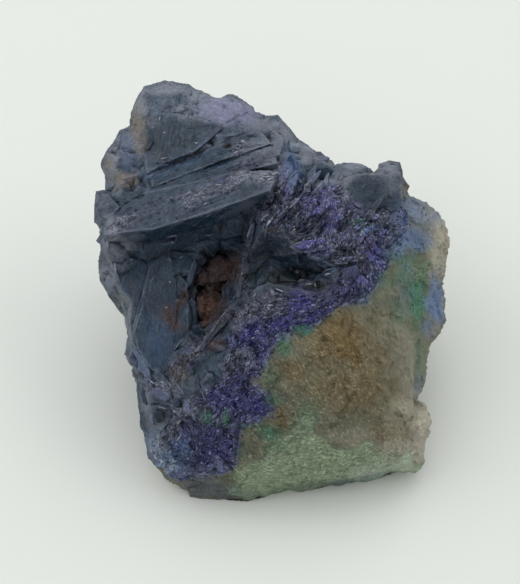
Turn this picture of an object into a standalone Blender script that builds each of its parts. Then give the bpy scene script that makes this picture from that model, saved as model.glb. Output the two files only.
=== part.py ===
"""Azurite specimen: a mass of intergrown azurite blades on an iron-stained, malachite-coated matrix.

The specimen lies on its flat broken base. Its form is set out on a face drawing, a plane that leans back
from the ground. A point of the drawing is (across, up, out) in millimetres: across and up as the point is
seen from EYE_DISTANCE in front of the drawing, and out as its real height above it, towards the eye.
The front is a net of triangles over the rim, the creases and the spot heights of that drawing. The sides
and back are lofted from the rim to the foot. The azurite plates and crystals are then fused to that body,
and the whole is parted along the contact between azurite and matrix.
"""

import math
import random

import bmesh
import bpy
from mathutils import Matrix, Vector, geometry, noise
from mathutils.bvhtree import BVHTree

# ---- Driving dimensions, in millimetres and degrees ----
EYE_DISTANCE = 230.0  # how far in front of the drawing its points are seen from
LEAN = math.radians(38.0)  # angle between the face drawing and the ground
FACE_HEIGHT = 23.0  # height of the drawing's centre above the ground
FOOT_CENTRE = (1.5, 8.0)  # ground point that the sides draw in towards
UNDERCUT = 0.33  # how far the sides draw in, per unit of height
SIDE_RINGS = 6  # rows of the loft from rim to foot
SIDE_BULGE = 0.4  # how far the sides swell at mid-height
GRAIN = 1.15  # longest edge of the net before it is broken up by noise
BODY_TRIANGLES = 4000  # what the body is thinned to, with its flat facets kept
SEAM = 0.34  # gap between pieces that grew against each other
SEED = 4207
MATRIX_RUN = Vector((-0.30, 1.0, -0.90))  # the way the azurite's bed runs back from its visible contact
REACH = 90.0  # longer than the specimen, for cutters
MM = 0.001

# ---- The face drawing: (across, up, out) ----
RIM = [
    (-12.3, 27.5, -12.0), (-10.0, 27.1, -12.5), (-7.8, 26.0, -13.0), (-5.2, 25.6, -13.5), (-3.1, 25.9, -13.5),
    (-1.6, 24.3, -13.0), (0.4, 22.9, -12.5), (2.2, 22.9, -12.0), (3.5, 21.4, -12.0), (4.8, 19.8, -12.0),
    (6.2, 19.0, -11.5), (6.9, 18.2, -11.0), (8.4, 18.4, -11.0), (9.0, 17.0, -11.0), (9.8, 16.3, -11.0),
    (11.5, 16.7, -11.5), (13.2, 17.0, -11.5), (15.3, 16.2, -11.5), (16.8, 17.0, -11.5), (18.3, 16.8, -11.5),
    (18.9, 15.0, -11.5), (19.5, 12.7, -12.0), (20.5, 12.1, -12.5), (22.0, 11.4, -13.0), (23.2, 10.1, -13.0),
    (24.3, 8.6, -13.0), (24.9, 7.0, -12.5), (24.8, 4.8, -12.0), (24.4, 2.6, -12.0), (24.0, 1.0, -12.0),
    (24.7, -0.4, -11.5), (24.1, -2.1, -11.0), (24.2, -3.0, -10.5), (23.4, -4.8, -10.0), (22.1, -5.7, -9.5),
    (21.7, -8.0, -9.0), (21.4, -11.0, -8.5), (21.1, -13.0, -8.5), (20.2, -14.0, -8.5), (21.5, -15.0, -7.5),
    (22.1, -17.5, -7.0), (21.7, -20.0, -7.0), (21.4, -22.3, -7.4), (20.7, -23.45, -8.0), (18.2, -23.85, -9.0),
    (17.2, -24.05, -9.3), (15.8, -24.85, -9.2), (13.0, -25.35, -8.8), (9.5, -25.75, -8.4), (6.5, -26.45, -7.8),
    (3.5, -26.45, -7.8), (0.8, -27.15, -7.2), (-2.0, -27.85, -6.8), (-5.0, -27.55, -7.0), (-7.5, -27.45, -7.0),
    (-9.3, -27.15, -7.2), (-9.8, -26.15, -7.5), (-12.0, -24.8, -8.0), (-13.2, -23.1, -8.0), (-14.3, -21.5, -8.0),
    (-14.9, -19.2, -7.8), (-15.4, -16.8, -7.6), (-15.8, -14.0, -7.4), (-16.0, -11.2, -7.2), (-17.2, -9.9, -7.2),
    (-17.5, -8.2, -7.2), (-17.0, -6.0, -7.4), (-17.5, -3.6, -7.6), (-17.4, -2.2, -7.6), (-18.2, -0.9, -7.8),
    (-19.6, 0.1, -8.0), (-21.0, 1.9, -8.0), (-21.6, 4.2, -8.2), (-21.7, 7.0, -8.4), (-21.9, 9.5, -8.6),
    (-21.4, 11.4, -8.8), (-21.3, 12.9, -9.0), (-20.0, 13.1, -9.2), (-20.0, 15.6, -9.6), (-20.7, 16.9, -9.8),
    (-19.8, 18.5, -10.0), (-19.0, 20.2, -10.4), (-18.1, 21.7, -10.8), (-16.9, 22.6, -11.2), (-16.4, 24.3, -11.5),
    (-15.8, 25.3, -11.6), (-15.2, 26.7, -11.8),
]

# Where the azurite's edge meets the matrix on the visible face, from the right rim to the lower left.
CONTACT = [
    (19.6, 10.2, -7.5), (18.6, 7.2, -4.0), (17.2, 4.8, -2.2), (15.4, 1.6, 0.2), (13.8, -1.0, 1.6),
    (10.2, -1.8, 2.5), (8.0, -3.4, 3.0), (5.6, -4.9, 3.3), (3.0, -5.3, 3.3), (1.3, -8.0, 3.3),
    (0.2, -10.0, 3.3), (-0.9, -11.9, 3.0), (0.6, -13.3, 2.6), (1.5, -15.3, 2.0), (-0.1, -16.9, 1.4),
    (-2.6, -17.6, 1.0), (-2.9, -20.0, 0.0), (-3.5, -23.2, -2.0), (-7.0, -24.1, -3.2), (-10.0, -24.4, -4.6),
    (-12.0, -24.0, -6.4),
]

CREASES = {
    "cap crest": [(-14.3, 24.2, -8.6), (-11.5, 24.8, -8.8), (-8.0, 23.4, -8.8), (-4.0, 22.6, -8.8),
                  (0.0, 21.6, -8.8), (2.6, 20.6, -9.0)],
    "cap foot": [(-15.4, 15.6, -7.4), (-12.2, 16.6, -7.2), (-8.0, 17.8, -7.0), (-3.6, 20.4, -7.2)],
    "bed under the ledge": [(-19.6, 6.9, -5.6), (-15.5, 7.2, -5.2), (-10.5, 8.6, -5.0), (-6.0, 9.8, -4.2),
                            (-1.5, 11.2, -2.8)],
    "dark bay": [(-18.6, 2.0, -4.8), (-15.8, 4.0, -6.0), (-11.5, 5.6, -7.0), (-8.3, 5.4, -7.4),
                 (-5.0, 6.8, -6.6), (-2.2, 7.4, -5.0)],
    "left edge": [(-20.3, 8.3, -4.0), (-20.0, 5.5, -3.8), (-19.1, 2.9, -3.9), (-18.2, 0.6, -4.2),
                  (-16.6, -1.4, -4.0), (-16.9, -4.4, -4.2), (-16.4, -7.4, -3.8), (-14.9, -10.6, -3.4)],
    "pocket mouth left": [(-8.3, 4.4, -6.6), (-9.4, 1.0, -5.8), (-9.6, -2.4, -5.4), (-9.4, -5.2, -4.6),
                          (-8.4, -6.9, -3.0)],
    "pocket floor": [(-6.2, 3.6, -9.4), (-4.4, 2.6, -9.6), (-6.2, -0.4, -9.6), (-7.6, -3.2, -8.6)],
    "pocket mouth right": [(-0.8, 8.8, -2.4), (-1.7, 4.6, -1.8), (-2.3, 1.4, -0.8), (-2.7, -1.3, -0.4),
                           (-4.7, -4.1, 0.2), (-7.2, -6.9, -0.2)],
    "dark hollow rim": [(0.4, 8.0, -0.8), (3.8, 7.0, 0.2), (5.0, 5.2, 1.0), (8.0, 4.4, 1.6), (10.0, 3.2, 2.0),
                        (9.8, 1.2, 2.6), (7.2, 0.4, 3.0), (4.0, 0.2, 3.2), (1.2, 1.4, 2.4), (-0.6, 0.0, 1.6)],
    "dark hollow floor": [(-0.4, 2.4, -2.0), (1.6, 4.8, -2.4), (4.6, 3.0, -1.8), (7.6, 2.4, -0.6)],
    "steps of the right blades": [(5.0, 14.3, -5.0), (8.4, 14.6, -5.4), (12.2, 10.9, -4.6), (15.0, 10.5, -4.4),
                                  (18.4, 10.2, -5.2)],
    "brow": [(2.8, 14.8, -3.4), (3.4, 12.6, -2.6), (5.2, 10.4, -2.0), (8.6, 9.6, -1.6), (12.0, 8.0, -1.4),
             (15.6, 6.6, -1.6)],
    "wall top": [(-0.6, -22.3, -0.6), (2.4, -20.2, 0.6), (5.0, -18.4, 1.4), (8.4, -18.6, 1.4), (12.0, -20.2, 0.2),
                 (16.0, -21.6, -1.8), (19.6, -22.3, -4.6)],
    "undercut": [(-9.0, -25.4, -6.6), (-5.0, -25.2, -5.4), (-1.5, -25.2, -4.8), (4.0, -24.2, -4.0),
                 (10.0, -23.6, -4.6), (15.4, -23.4, -6.4)],
    "right shoulder": [(20.8, 9.4, -8.6), (22.4, 6.2, -8.2), (22.4, 2.2, -7.0), (21.8, -1.8, -6.0),
                       (20.4, -6.0, -4.6), (19.6, -10.2, -3.6), (18.8, -13.8, -3.4), (19.6, -17.6, -3.0),
                       (19.4, -20.4, -3.8)],
    "lower left corner": [(-14.0, -12.2, -3.2), (-11.4, -16.4, -1.6), (-12.4, -19.4, -3.4), (-10.6, -22.2, -3.8)],
}

SPOTS = [
    (-17.8, 18.6, -8.6), (-17.8, 14.8, -7.2), (-15.8, 20.6, -8.0), (-12.0, 20.4, -7.2), (-8.0, 20.4, -7.0),
    (-6.6, 24.4, -10.6), (-1.6, 23.0, -10.6), (-20.4, 11.2, -6.4), (-18.6, 12.8, -6.6), (-14.0, 12.6, -6.2),
    (-8.0, 14.0, -5.2), (-2.0, 16.2, -5.0), (-6.6, 12.0, -3.6), (-1.0, 18.8, -6.4), (1.6, 12.4, -2.2),
    (1.2, 9.8, -1.2), (3.4, 17.6, -6.4), (6.6, 16.8, -7.6), (13.0, 14.6, -8.2), (16.6, 14.0, -8.4),
    (6.2, 7.8, -0.8), (9.6, 6.2, 0.6), (12.6, 4.0, 1.0), (13.0, 1.0, 2.2), (15.0, 9.0, -3.2), (9.6, 12.2, -3.6),
    (-14.6, 0.6, -5.2), (-12.6, -4.0, -5.0), (-12.0, -9.2, -3.6), (-9.0, -9.4, -1.6), (-6.0, -9.6, 0.2),
    (-9.6, -12.8, -0.8), (-5.6, -13.0, 1.4), (-2.8, -9.2, 2.6), (-2.4, -4.6, 2.0), (1.6, -2.6, 3.4),
    (5.4, -2.2, 3.6), (-2.6, -14.4, 2.2), (-7.4, -16.8, 0.4), (-6.2, -20.4, -0.8), (-9.6, -20.2, -1.8),
    (-13.4, -16.4, -3.8), (-13.0, -21.2, -5.4), (3.6, -9.0, 3.9), (8.0, -7.6, 4.2), (13.0, -6.0, 2.8),
    (17.4, -3.0, -0.6), (19.2, 1.6, -3.4), (18.6, -7.0, -1.4), (14.4, -11.6, 2.0), (8.6, -13.0, 3.4),
    (3.6, -14.0, 3.2), (16.6, -17.0, 0.2), (11.0, -16.8, 2.2), (0.4, -19.4, 1.0),
]


# Azurite blades and blocks. Each is a flat face, given by its corners, and the way its thickness runs.
PLATES = {
    "ledge": ([(-20.4, 7.6, -1.8), (-14.0, 8.3, 0.2), (-7.0, 10.4, 1.5), (1.2, 13.4, 1.4), (2.4, 15.8, -1.2),
               (-2.0, 15.9, -1.8), (-8.0, 14.5, -2.2), (-14.0, 13.3, -3.4), (-17.5, 11.6, -4.3),
               (-20.2, 9.6, -3.8)], (0.2, -1.5, -5.0)),
    "first plank": ([(-15.5, 12.9, -4.2), (-6.0, 14.9, -3.0), (2.2, 17.0, -2.2), (1.8, 18.0, -3.6),
                     (-7.0, 15.8, -4.3), (-14.0, 13.7, -5.0)], (0.0, -0.8, -3.5)),
    "second plank": ([(-12.5, 14.2, -4.9), (-4.0, 16.2, -3.9), (2.5, 18.1, -3.2), (3.2, 20.4, -5.5),
                      (-2.0, 18.8, -5.4), (-9.0, 15.9, -5.4)], (0.0, -0.6, -4.0)),
    "top plank": ([(-14.3, 13.8, -5.4), (-9.4, 15.8, -4.8), (-4.6, 17.6, -4.3), (1.4, 19.6, -4.8),
                   (0.0, 21.3, -6.8), (-3.8, 20.2, -6.2), (-9.5, 17.3, -6.4), (-14.5, 15.2, -6.8)],
                  (0.2, -0.6, -4.0)),
    "cap slab": ([(-15.0, 15.6, -6.6), (-12.5, 17.1, -6.0), (-8.3, 18.8, -5.8), (-5.0, 21.8, -7.0),
                  (-8.5, 23.0, -7.5), (-12.0, 23.6, -7.6), (-14.5, 23.6, -8.3), (-15.3, 20.0, -7.8)],
                 (0.0, 0.4, -4.0)),
    "left crest": ([(-15.2, 22.0, -8.2), (-14.9, 25.4, -9.6), (-12.4, 27.0, -11.2), (-10.0, 26.7, -11.6),
                    (-9.4, 24.2, -8.6), (-12.0, 23.6, -7.8)], (0.0, 0.2, -3.0)),
    "right crest": ([(-8.8, 23.2, -8.0), (-8.0, 25.5, -10.6), (-5.2, 25.2, -11.2), (-3.3, 25.4, -11.8),
                     (-1.7, 23.8, -10.6), (-4.4, 22.0, -8.0)], (0.0, 0.2, -3.0)),
    "left chip": ([(-21.3, 12.7, -5.0), (-20.0, 12.8, -4.6), (-18.5, 11.2, -3.8), (-20.0, 9.5, -3.8),
                   (-21.6, 10.5, -4.8)], (0.6, -0.4, -3.6)),
    "dark slab": ([(-15.6, -0.5, -3.8), (-14.6, 3.4, -5.2), (-12.0, 4.6, -6.0), (-9.6, 1.0, -6.2),
                   (-9.6, -4.8, -5.4), (-10.6, -7.0, -4.4), (-12.0, -10.4, -2.9), (-14.2, -10.4, -2.8),
                   (-16.0, -7.6, -3.2), (-16.8, -4.5, -3.6)], (0.0, 0.0, -3.5)),
    "upper fin": ([(-1.2, 9.0, -1.0), (-0.7, 9.1, -1.2), (-1.6, 4.4, -0.6), (-2.7, -0.6, 0.3),
                   (-3.1, -0.6, 0.2), (-2.1, 4.4, -0.8)], (0.8, 0.4, -6.0)),
    "lower fin": ([(-3.0, -1.2, 0.7), (-2.5, -1.4, 0.6), (-5.0, -4.6, 0.9), (-7.4, -7.2, 0.2),
                   (-7.8, -6.7, 0.1), (-5.4, -4.2, 0.9)], (0.8, -0.6, -6.0)),
    "right block": ([(10.6, 14.4, -5.0), (13.0, 15.4, -5.5), (18.4, 15.6, -6.0), (18.8, 12.6, -6.0),
                     (18.2, 10.4, -4.8), (15.0, 10.6, -3.8), (12.6, 11.4, -3.8)], (-0.3, 0.6, -4.5)),
    "block behind": ([(15.2, 13.0, -5.5), (15.3, 15.9, -7.5), (16.4, 16.9, -8.5), (18.2, 16.7, -8.5),
                      (18.8, 14.5, -7.5), (18.6, 12.0, -5.5)], (-0.2, 0.0, -4.0)),
    "middle block": ([(5.3, 14.7, -5.0), (5.5, 16.8, -6.0), (7.2, 17.6, -6.6), (9.0, 16.9, -6.6),
                      (9.9, 15.2, -5.6), (8.0, 14.6, -4.8)], (0.2, 0.4, -4.0)),
    "pale band": ([(6.0, 13.6, -3.8), (9.8, 15.0, -4.8), (11.8, 13.0, -4.4), (12.6, 10.6, -3.6),
                   (11.2, 9.8, -3.0), (10.2, 12.6, -3.4), (8.0, 14.0, -3.6)], (0.0, 0.0, -2.5)),
    "violet face": ([(5.0, 11.4, -1.4), (7.0, 13.2, -2.6), (9.4, 13.4, -2.8), (10.6, 11.4, -2.2),
                     (8.5, 10.3, -1.2), (6.0, 10.4, -1.0)], (0.0, 0.0, -2.5)),
    "small prism": ([(11.3, 8.3, -0.6), (12.2, 9.8, -1.4), (14.0, 10.0, -1.8), (13.6, 8.8, -1.2),
                     (12.2, 8.1, -0.4)], (0.0, 0.0, -2.5)),
    "brow plate": ([(4.0, 5.9, 1.2), (6.5, 7.1, 0.8), (8.4, 6.9, 1.2), (8.0, 5.6, 2.0), (5.2, 5.2, 1.8)],
                   (0.0, 0.5, -2.6)),
    "brow sliver": ([(10.0, 4.2, 2.0), (12.7, 4.7, 1.6), (12.8, 4.2, 1.9), (10.0, 3.7, 2.3)], (0.0, 0.2, -1.8)),
    "lower block": ([(-14.6, -15.2, -3.0), (-12.4, -14.6, -2.0), (-11.4, -16.6, -1.4), (-13.0, -18.2, -2.2),
                     (-14.6, -17.6, -3.6)], (0.3, 0.6, -3.0)),
    "lower plate": ([(-15.2, -11.6, -3.0), (-12.8, -11.2, -2.0), (-11.0, -15.4, -1.2), (-12.2, -14.9, -1.4),
                     (-14.4, -14.4, -2.8)], (0.4, 0.6, -2.6)),
    "small face": ([(-10.2, -14.2, -0.6), (-9.3, -14.0, -0.3), (-9.1, -15.8, 0.1), (-9.9, -16.3, -0.1)],
                   (0.2, 0.2, -1.8)),
}

# Where the small crystals stand: corners of a patch of the drawing, their number, the way they point in the
# drawing (degrees from across), how far they rise out of it (degrees), and their length, width and depth.
PATCHES = {
    "splinter field": ([(1.0, 8.6), (4.0, 13.6), (10.0, 13.6), (15.0, 10.0), (16.0, 7.0), (12.0, 5.0)],
                       30, 54.0, 7.0, (3.6, 0.9, 0.9)),
    "upper steps": ([(2.6, 14.2), (3.4, 16.4), (8.4, 15.4), (12.4, 13.8), (12.6, 12.0)],
                    7, 66.0, 4.0, (2.2, 1.3, 1.0)),
    "lower left": ([(-13.6, -12.0), (-8.0, -9.0), (-5.4, -14.0), (-8.4, -21.0), (-12.6, -21.0)],
                   10, 118.0, 6.0, (2.6, 1.5, 1.0)),
}

# Brown lumps of limonite in the pocket: centre on the drawing and half sizes.
LUMPS = [((-4.6, 2.6, -7.4), (2.3, 2.3, 2.4)), ((-6.4, -1.6, -7.2), (2.2, 3.0, 2.4)), ((-7.2, 1.6, -8.4), (1.6, 1.8, 2.0)),
         ((-6.0, -4.6, -5.6), (1.6, 1.5, 1.8))]


def seen(across, up, out):
    """The real place, on the drawing's own axes, of a point that is seen at (across, up)."""
    nearer = (EYE_DISTANCE - out) / EYE_DISTANCE
    return Vector((across * nearer, up * nearer, out))


def face_to_ground():
    """Turns the drawing's axes into the ground's: across is +X, and the drawing leans back by LEAN."""
    up = Vector((0.0, math.cos(LEAN), math.sin(LEAN)))
    out = Vector((0.0, -math.sin(LEAN), math.cos(LEAN)))
    turn = Matrix((Vector((1.0, 0.0, 0.0)), up, out)).transposed().to_4x4()
    return Matrix.Translation((0.0, 0.0, FACE_HEIGHT)) @ turn


GROUND = face_to_ground()


def on_ground(point):
    return GROUND @ seen(*point)


# ---- Small mesh helpers ----
def new_object(name, bm):
    mesh = bpy.data.meshes.new(name)
    bm.to_mesh(mesh)
    bm.free()
    obj = bpy.data.objects.new(name, mesh)
    bpy.context.scene.collection.objects.link(obj)
    return obj


def discard(*objects):
    for obj in objects:
        bpy.data.objects.remove(obj)


def settled(obj):
    """Puts what the object's modifiers make into its own mesh."""
    graph = bpy.context.evaluated_depsgraph_get()
    mesh = bpy.data.meshes.new_from_object(obj.evaluated_get(graph))
    obj.modifiers.clear()
    obj.data = mesh
    return obj


def combined(obj, other, operation):
    """Joins the other object to this one, or takes it away, or keeps what they share."""
    modifier = obj.modifiers.new(operation.lower(), "BOOLEAN")
    modifier.operation = operation
    modifier.object = other
    modifier.use_self = operation == "UNION"
    return settled(obj)


def largest_island(obj):
    """Drops the crumbs that a cut leaves loose beside the main piece."""
    bm = bmesh.new()
    bm.from_mesh(obj.data)
    left = set(bm.verts)
    islands = []
    while left:
        island, front = set(), [left.pop()]
        while front:
            vert = front.pop()
            island.add(vert)
            for edge in vert.link_edges:
                other = edge.other_vert(vert)
                if other in left:
                    left.remove(other)
                    front.append(other)
        islands.append(island)
    main = max(islands, key=len)
    bmesh.ops.delete(bm, geom=[v for v in bm.verts if v not in main], context="VERTS")
    bm.to_mesh(obj.data)
    bm.free()
    return obj


# ---- The body ----
def front_net():
    """Points and triangles of the visible face: a triangle net that follows the rim and every crease."""
    points, ties = [], []

    def add_line(line, closed=False):
        first = len(points)
        points.extend(line)
        last = len(points) - 1
        ties.extend((i, i + 1) for i in range(first, last))
        if closed:
            ties.append((last, first))

    add_line(RIM, closed=True)
    add_line(CONTACT)
    for line in CREASES.values():
        add_line(line)
    points.extend(SPOTS)
    flat = [Vector(p[:2]) for p in points]
    loop = list(range(len(RIM)))[::-1]
    found, _, faces, origins, _, _ = geometry.delaunay_2d_cdt(flat, ties, [loop], 1, 1e-4)
    crossed = [tuple(round(c, 1) for c in found[i]) for i, origin in enumerate(origins) if not origin]
    if crossed:
        raise ValueError(f"creases cross at {crossed}")
    heights = [points[origin[0]][2] for origin in origins]
    rim_order = {origin: i for i, both in enumerate(origins) for origin in both if origin < len(RIM)}
    spots = [(place.x, place.y, height) for place, height in zip(found, heights)]
    return spots, faces, [rim_order[i] for i in range(len(RIM))]


def side_ring(rim_points, share):
    """One ring of the sides: share 0 is the rim, and 1 is the foot on the ground."""
    centre = Vector((*FOOT_CENTRE, 0.0))
    ring = []
    for point in rim_points:
        away = (point - centre) * Vector((1.0, 1.0, 0.0))
        drawn_in = UNDERCUT * point.z * share
        swell = SIDE_BULGE * math.sin(math.pi * share) * min(1.0, point.z / 12.0)
        level = away.normalized() * (away.length - drawn_in + swell) + centre
        ring.append(Vector((level.x, level.y, point.z * (1.0 - share))))
    return ring


def eased(ring, rounds):
    """A closed ring with its corners softened."""
    for _ in range(rounds):
        ring = [(ring[i - 1] + 2 * p + ring[(i + 1) % len(ring)]) / 4 for i, p in enumerate(ring)]
    return ring


def raw_body():
    """The closed body on the ground's axes: front net, lofted sides and flat foot."""
    points, faces, rim = front_net()
    bm = bmesh.new()
    front = [bm.verts.new(on_ground(p)) for p in points]
    for face in faces:
        bm.faces.new([front[i] for i in face])
    rows = [[front[i] for i in rim]]
    rim_points = [v.co.copy() for v in rows[0]]
    for row in range(1, SIDE_RINGS + 1):
        ring = eased(side_ring(rim_points, row / SIDE_RINGS), row - 1)
        rows.append([bm.verts.new(p) for p in ring])
    for upper, lower in zip(rows, rows[1:]):
        for i in range(len(upper)):
            j = (i + 1) % len(upper)
            bm.faces.new((upper[i], upper[j], lower[j], lower[i]))
    bm.faces.new(rows[-1])
    bmesh.ops.recalc_face_normals(bm, faces=bm.faces)
    return bm


def refined(bm, longest):
    """Splits every edge that is longer than the given length, and leaves triangles."""
    bmesh.ops.triangulate(bm, faces=bm.faces)
    for _ in range(6):
        long_edges = [e for e in bm.edges if e.calc_length() > longest]
        if not long_edges:
            break
        bmesh.ops.subdivide_edges(bm, edges=long_edges, cuts=1)
        bmesh.ops.triangulate(bm, faces=bm.faces)
    return bm


def facet_height(point, size):
    """Height of a surface that breaks into flat, randomly tilted facets about this size across."""
    _, seeds = noise.voronoi(point / size)
    heights = []
    for seed in seeds[:3]:
        tilt = noise.cell_vector(seed * 91.7) - Vector((0.5, 0.5, 0.5))
        heights.append((point / size - seed).dot(tilt))
    return max(heights) * size


def roughened(bm):
    """Breaks up the smooth net: angular facets on the azurite, soft lumps and fine pits on the matrix."""
    bm.normal_update()
    moves = []
    for vert in bm.verts:
        if vert.co.z < 0.05:
            moves.append(Vector())
            continue
        broken = 0.6 * facet_height(vert.co, 5.0) + 0.5 * facet_height(vert.co + Vector((40, 0, 0)), 2.2)
        lumps = 0.6 * noise.fractal(vert.co / 7.0, 1.0, 2.0, 4) + 0.2 * noise.noise(vert.co / 1.4)
        height = broken - 0.3 if over_contact(vert.co) > 0 else lumps + 0.2 * broken
        settle = min(1.0, vert.co.z / 3.0)
        height = max(-0.8, min(0.4, height))
        moves.append(vert.normal * height * settle)
    for vert, move in zip(bm.verts, moves):
        vert.co += move
        vert.co.z = max(vert.co.z, 0.0)
    return bm


# ---- The contact between azurite and matrix ----
def along_run(point):
    """Where the line through a drawing point, along the way the bed runs, meets the plane up = 0."""
    place = point - MATRIX_RUN * (point.y / MATRIX_RUN.y)
    return Vector((place.x, place.z))


def contact_line():
    line = [along_run(seen(*p)) for p in CONTACT]
    first = line[0] + (line[0] - line[1]).normalized() * REACH
    last = line[-1] + Vector((-1.0, -0.35)).normalized() * REACH
    return [first, *line, last]


def over_contact(ground_point):
    """Positive on the azurite's side of the bed, and negative inside the matrix."""
    place = along_run(GROUND.inverted() @ ground_point)
    line = CONTACT_LINE
    best, side = 1e9, 1.0
    for a, b in zip(line, line[1:]):
        along = b - a
        t = min(1.0, max(0.0, (place - a).dot(along) / along.length_squared))
        gap = place - (a + along * t)
        if gap.length < best:
            best = gap.length
            side = along.cross(gap)
    return -best if side > 0 else best


CONTACT_LINE = contact_line()


def matrix_block(grow):
    """A block that holds all of the matrix's side of the bed, grown past the contact by this much."""
    line = CONTACT_LINE
    shifted = []
    for i, point in enumerate(line):
        along = (line[min(i + 1, len(line) - 1)] - line[max(i - 1, 0)]).normalized()
        shifted.append(point + Vector((along.y, -along.x)) * grow)
    outline = [*shifted, Vector((-REACH, -2 * REACH)), Vector((2 * REACH, -2 * REACH)), Vector((2 * REACH, -REACH))]
    bm = bmesh.new()
    ends = []
    for up in (-REACH, REACH):
        ring = [Vector((p.x, 0.0, p.y)) + MATRIX_RUN * up for p in outline]
        ends.append([bm.verts.new(GROUND @ p) for p in ring])
    for i in range(len(outline)):
        j = (i + 1) % len(outline)
        bm.faces.new((ends[0][i], ends[0][j], ends[1][j], ends[1][i]))
    bm.faces.new(ends[0])
    bm.faces.new(ends[1])
    bmesh.ops.recalc_face_normals(bm, faces=bm.faces)
    return new_object("matrix block", bm)


# ---- Azurite crystals ----
def plate(corners, thickness):
    face = [seen(*corner) for corner in corners]
    back = [point + Vector(thickness) for point in face]
    return [GROUND @ point for point in face + back]


def splinter(root, along, across, length, width, depth, lean):
    """Corners of one small blade: a slab with a chisel tip, rooted below the surface it grows from."""
    out = along.cross(across).normalized()
    corners = []
    for side in (-0.5, 0.5):
        for layer in (-0.5, 0.5):
            foot = root + across * side * width + out * layer * depth
            corners += [foot - along * 0.5 * length, foot + along * (0.62 + 0.2 * lean * side) * length]
    for layer in (-0.35, 0.35):
        corners.append(root + across * lean * 0.25 * width + out * layer * depth + along * length)
    return corners


def inside(patch, across, up):
    """Whether a drawing point lies in a patch of the drawing."""
    crossings = 0
    for (ax, ay), (bx, by) in zip(patch, patch[1:] + patch[:1]):
        if (ay > up) != (by > up) and across < (bx - ax) * (up - ay) / (by - ay) + ax:
            crossings += 1
    return crossings % 2 == 1


def splinters(surface):
    """Corner sets of the small crystals, each rooted on the surface it is seen on."""
    picks = random.Random(SEED)
    eye = GROUND @ Vector((0.0, 0.0, EYE_DISTANCE))
    found = []
    for patch, count, bearing, rise, sizes in PATCHES.values():
        left, right = min(p[0] for p in patch), max(p[0] for p in patch)
        low, high = min(p[1] for p in patch), max(p[1] for p in patch)
        placed = 0
        while placed < count:
            spot = (picks.uniform(left, right), picks.uniform(low, high))
            if not inside(patch, *spot):
                continue
            aim = (GROUND @ Vector((*spot, 0.0)) - eye).normalized()
            root, normal, _, _ = surface.ray_cast(eye, aim)
            if root is None or over_contact(root) < 1.6:
                continue
            turn = math.radians(picks.gauss(bearing, 9.0))
            climb = math.radians(picks.gauss(rise, 9.0))
            along = Vector((math.cos(turn) * math.cos(climb), math.sin(turn) * math.cos(climb), math.sin(climb)))
            side = Vector((-math.sin(turn), math.cos(turn), picks.uniform(-0.8, 0.3)))
            side = (side - along * side.dot(along)).normalized()
            turned = GROUND.to_3x3()
            size = [s * picks.uniform(0.65, 1.3) for s in sizes]
            sunk = root - aim * -0.25 * size[2]
            found.append(splinter(sunk, turned @ along, turned @ side, *size, picks.choice((-1.0, 0.0, 1.0))))
            placed += 1
    return found


def crystals(surface):
    """All blades, blocks and small crystals, as closed hulls in one mesh."""
    bm = bmesh.new()
    sets = [plate(*entry) for entry in PLATES.values()] + splinters(surface)
    for corners in sets:
        part = bmesh.new()
        for corner in corners:
            part.verts.new(corner)
        made = bmesh.ops.convex_hull(part, input=part.verts)
        spare = {g for g in made["geom_interior"] if isinstance(g, bmesh.types.BMVert)}
        bmesh.ops.delete(part, geom=list(spare), context="VERTS")
        bmesh.ops.recalc_face_normals(part, faces=part.faces)
        bmesh.ops.dissolve_limit(part, angle_limit=math.radians(4.0), verts=part.verts, edges=part.edges)
        for face in part.faces:
            bm.faces.new([bm.verts.new(v.co) for v in face.verts])
        part.free()
    bmesh.ops.remove_doubles(bm, verts=bm.verts, dist=1e-5)
    return new_object("crystals", bm)


# ---- Pocket lumps ----
def lump_shell(grow):
    """The limonite lumps, grown together, each a ball broken into small rounded heaps."""
    joined = None
    for centre, half in LUMPS:
        bm = bmesh.new()
        bmesh.ops.create_icosphere(bm, subdivisions=2 if half[0] < 2.0 else 3, radius=1.0)
        for vert in bm.verts:
            way = vert.co.normalized()
            swell = 1.0 + 0.22 * noise.noise(way * 2.3 + Vector(centre)) + 0.12 * noise.noise(way * 5.1)
            place = Vector(way[i] * (half[i] * swell + grow) for i in range(3))
            vert.co = GROUND @ (seen(*centre) + place)
        ball = new_object("ball", bm)
        if joined is None:
            joined = ball
        else:
            combined(joined, ball, "UNION")
            discard(ball)
    return joined


def clear_scene():
    for obj in list(bpy.data.objects):
        bpy.data.objects.remove(obj)


def surface_tree(obj):
    bm = bmesh.new()
    bm.from_mesh(obj.data)
    tree = BVHTree.FromBMesh(bm)
    bm.free()
    return tree


def closed(bm):
    return all(len(edge.link_faces) == 2 for edge in bm.edges)


def cleaned(obj):
    """Merges points that a cut leaves almost together, and the flat triangles it leaves on one plane."""
    for flat in (1.0, 0.6, 0.3, 0.1, 0.0):
        bm = bmesh.new()
        bm.from_mesh(obj.data)
        bmesh.ops.remove_doubles(bm, verts=bm.verts, dist=0.0002)
        bmesh.ops.dissolve_degenerate(bm, edges=bm.edges, dist=0.0002)
        if flat:
            bmesh.ops.dissolve_limit(bm, angle_limit=math.radians(flat), verts=bm.verts, edges=bm.edges)
        bmesh.ops.triangulate(bm, faces=bm.faces)
        whole = closed(bm)
        if whole:
            bm.to_mesh(obj.data)
            bm.free()
            return obj
        bm.free()
    raise ValueError(f"{obj.name} is not closed")


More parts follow.
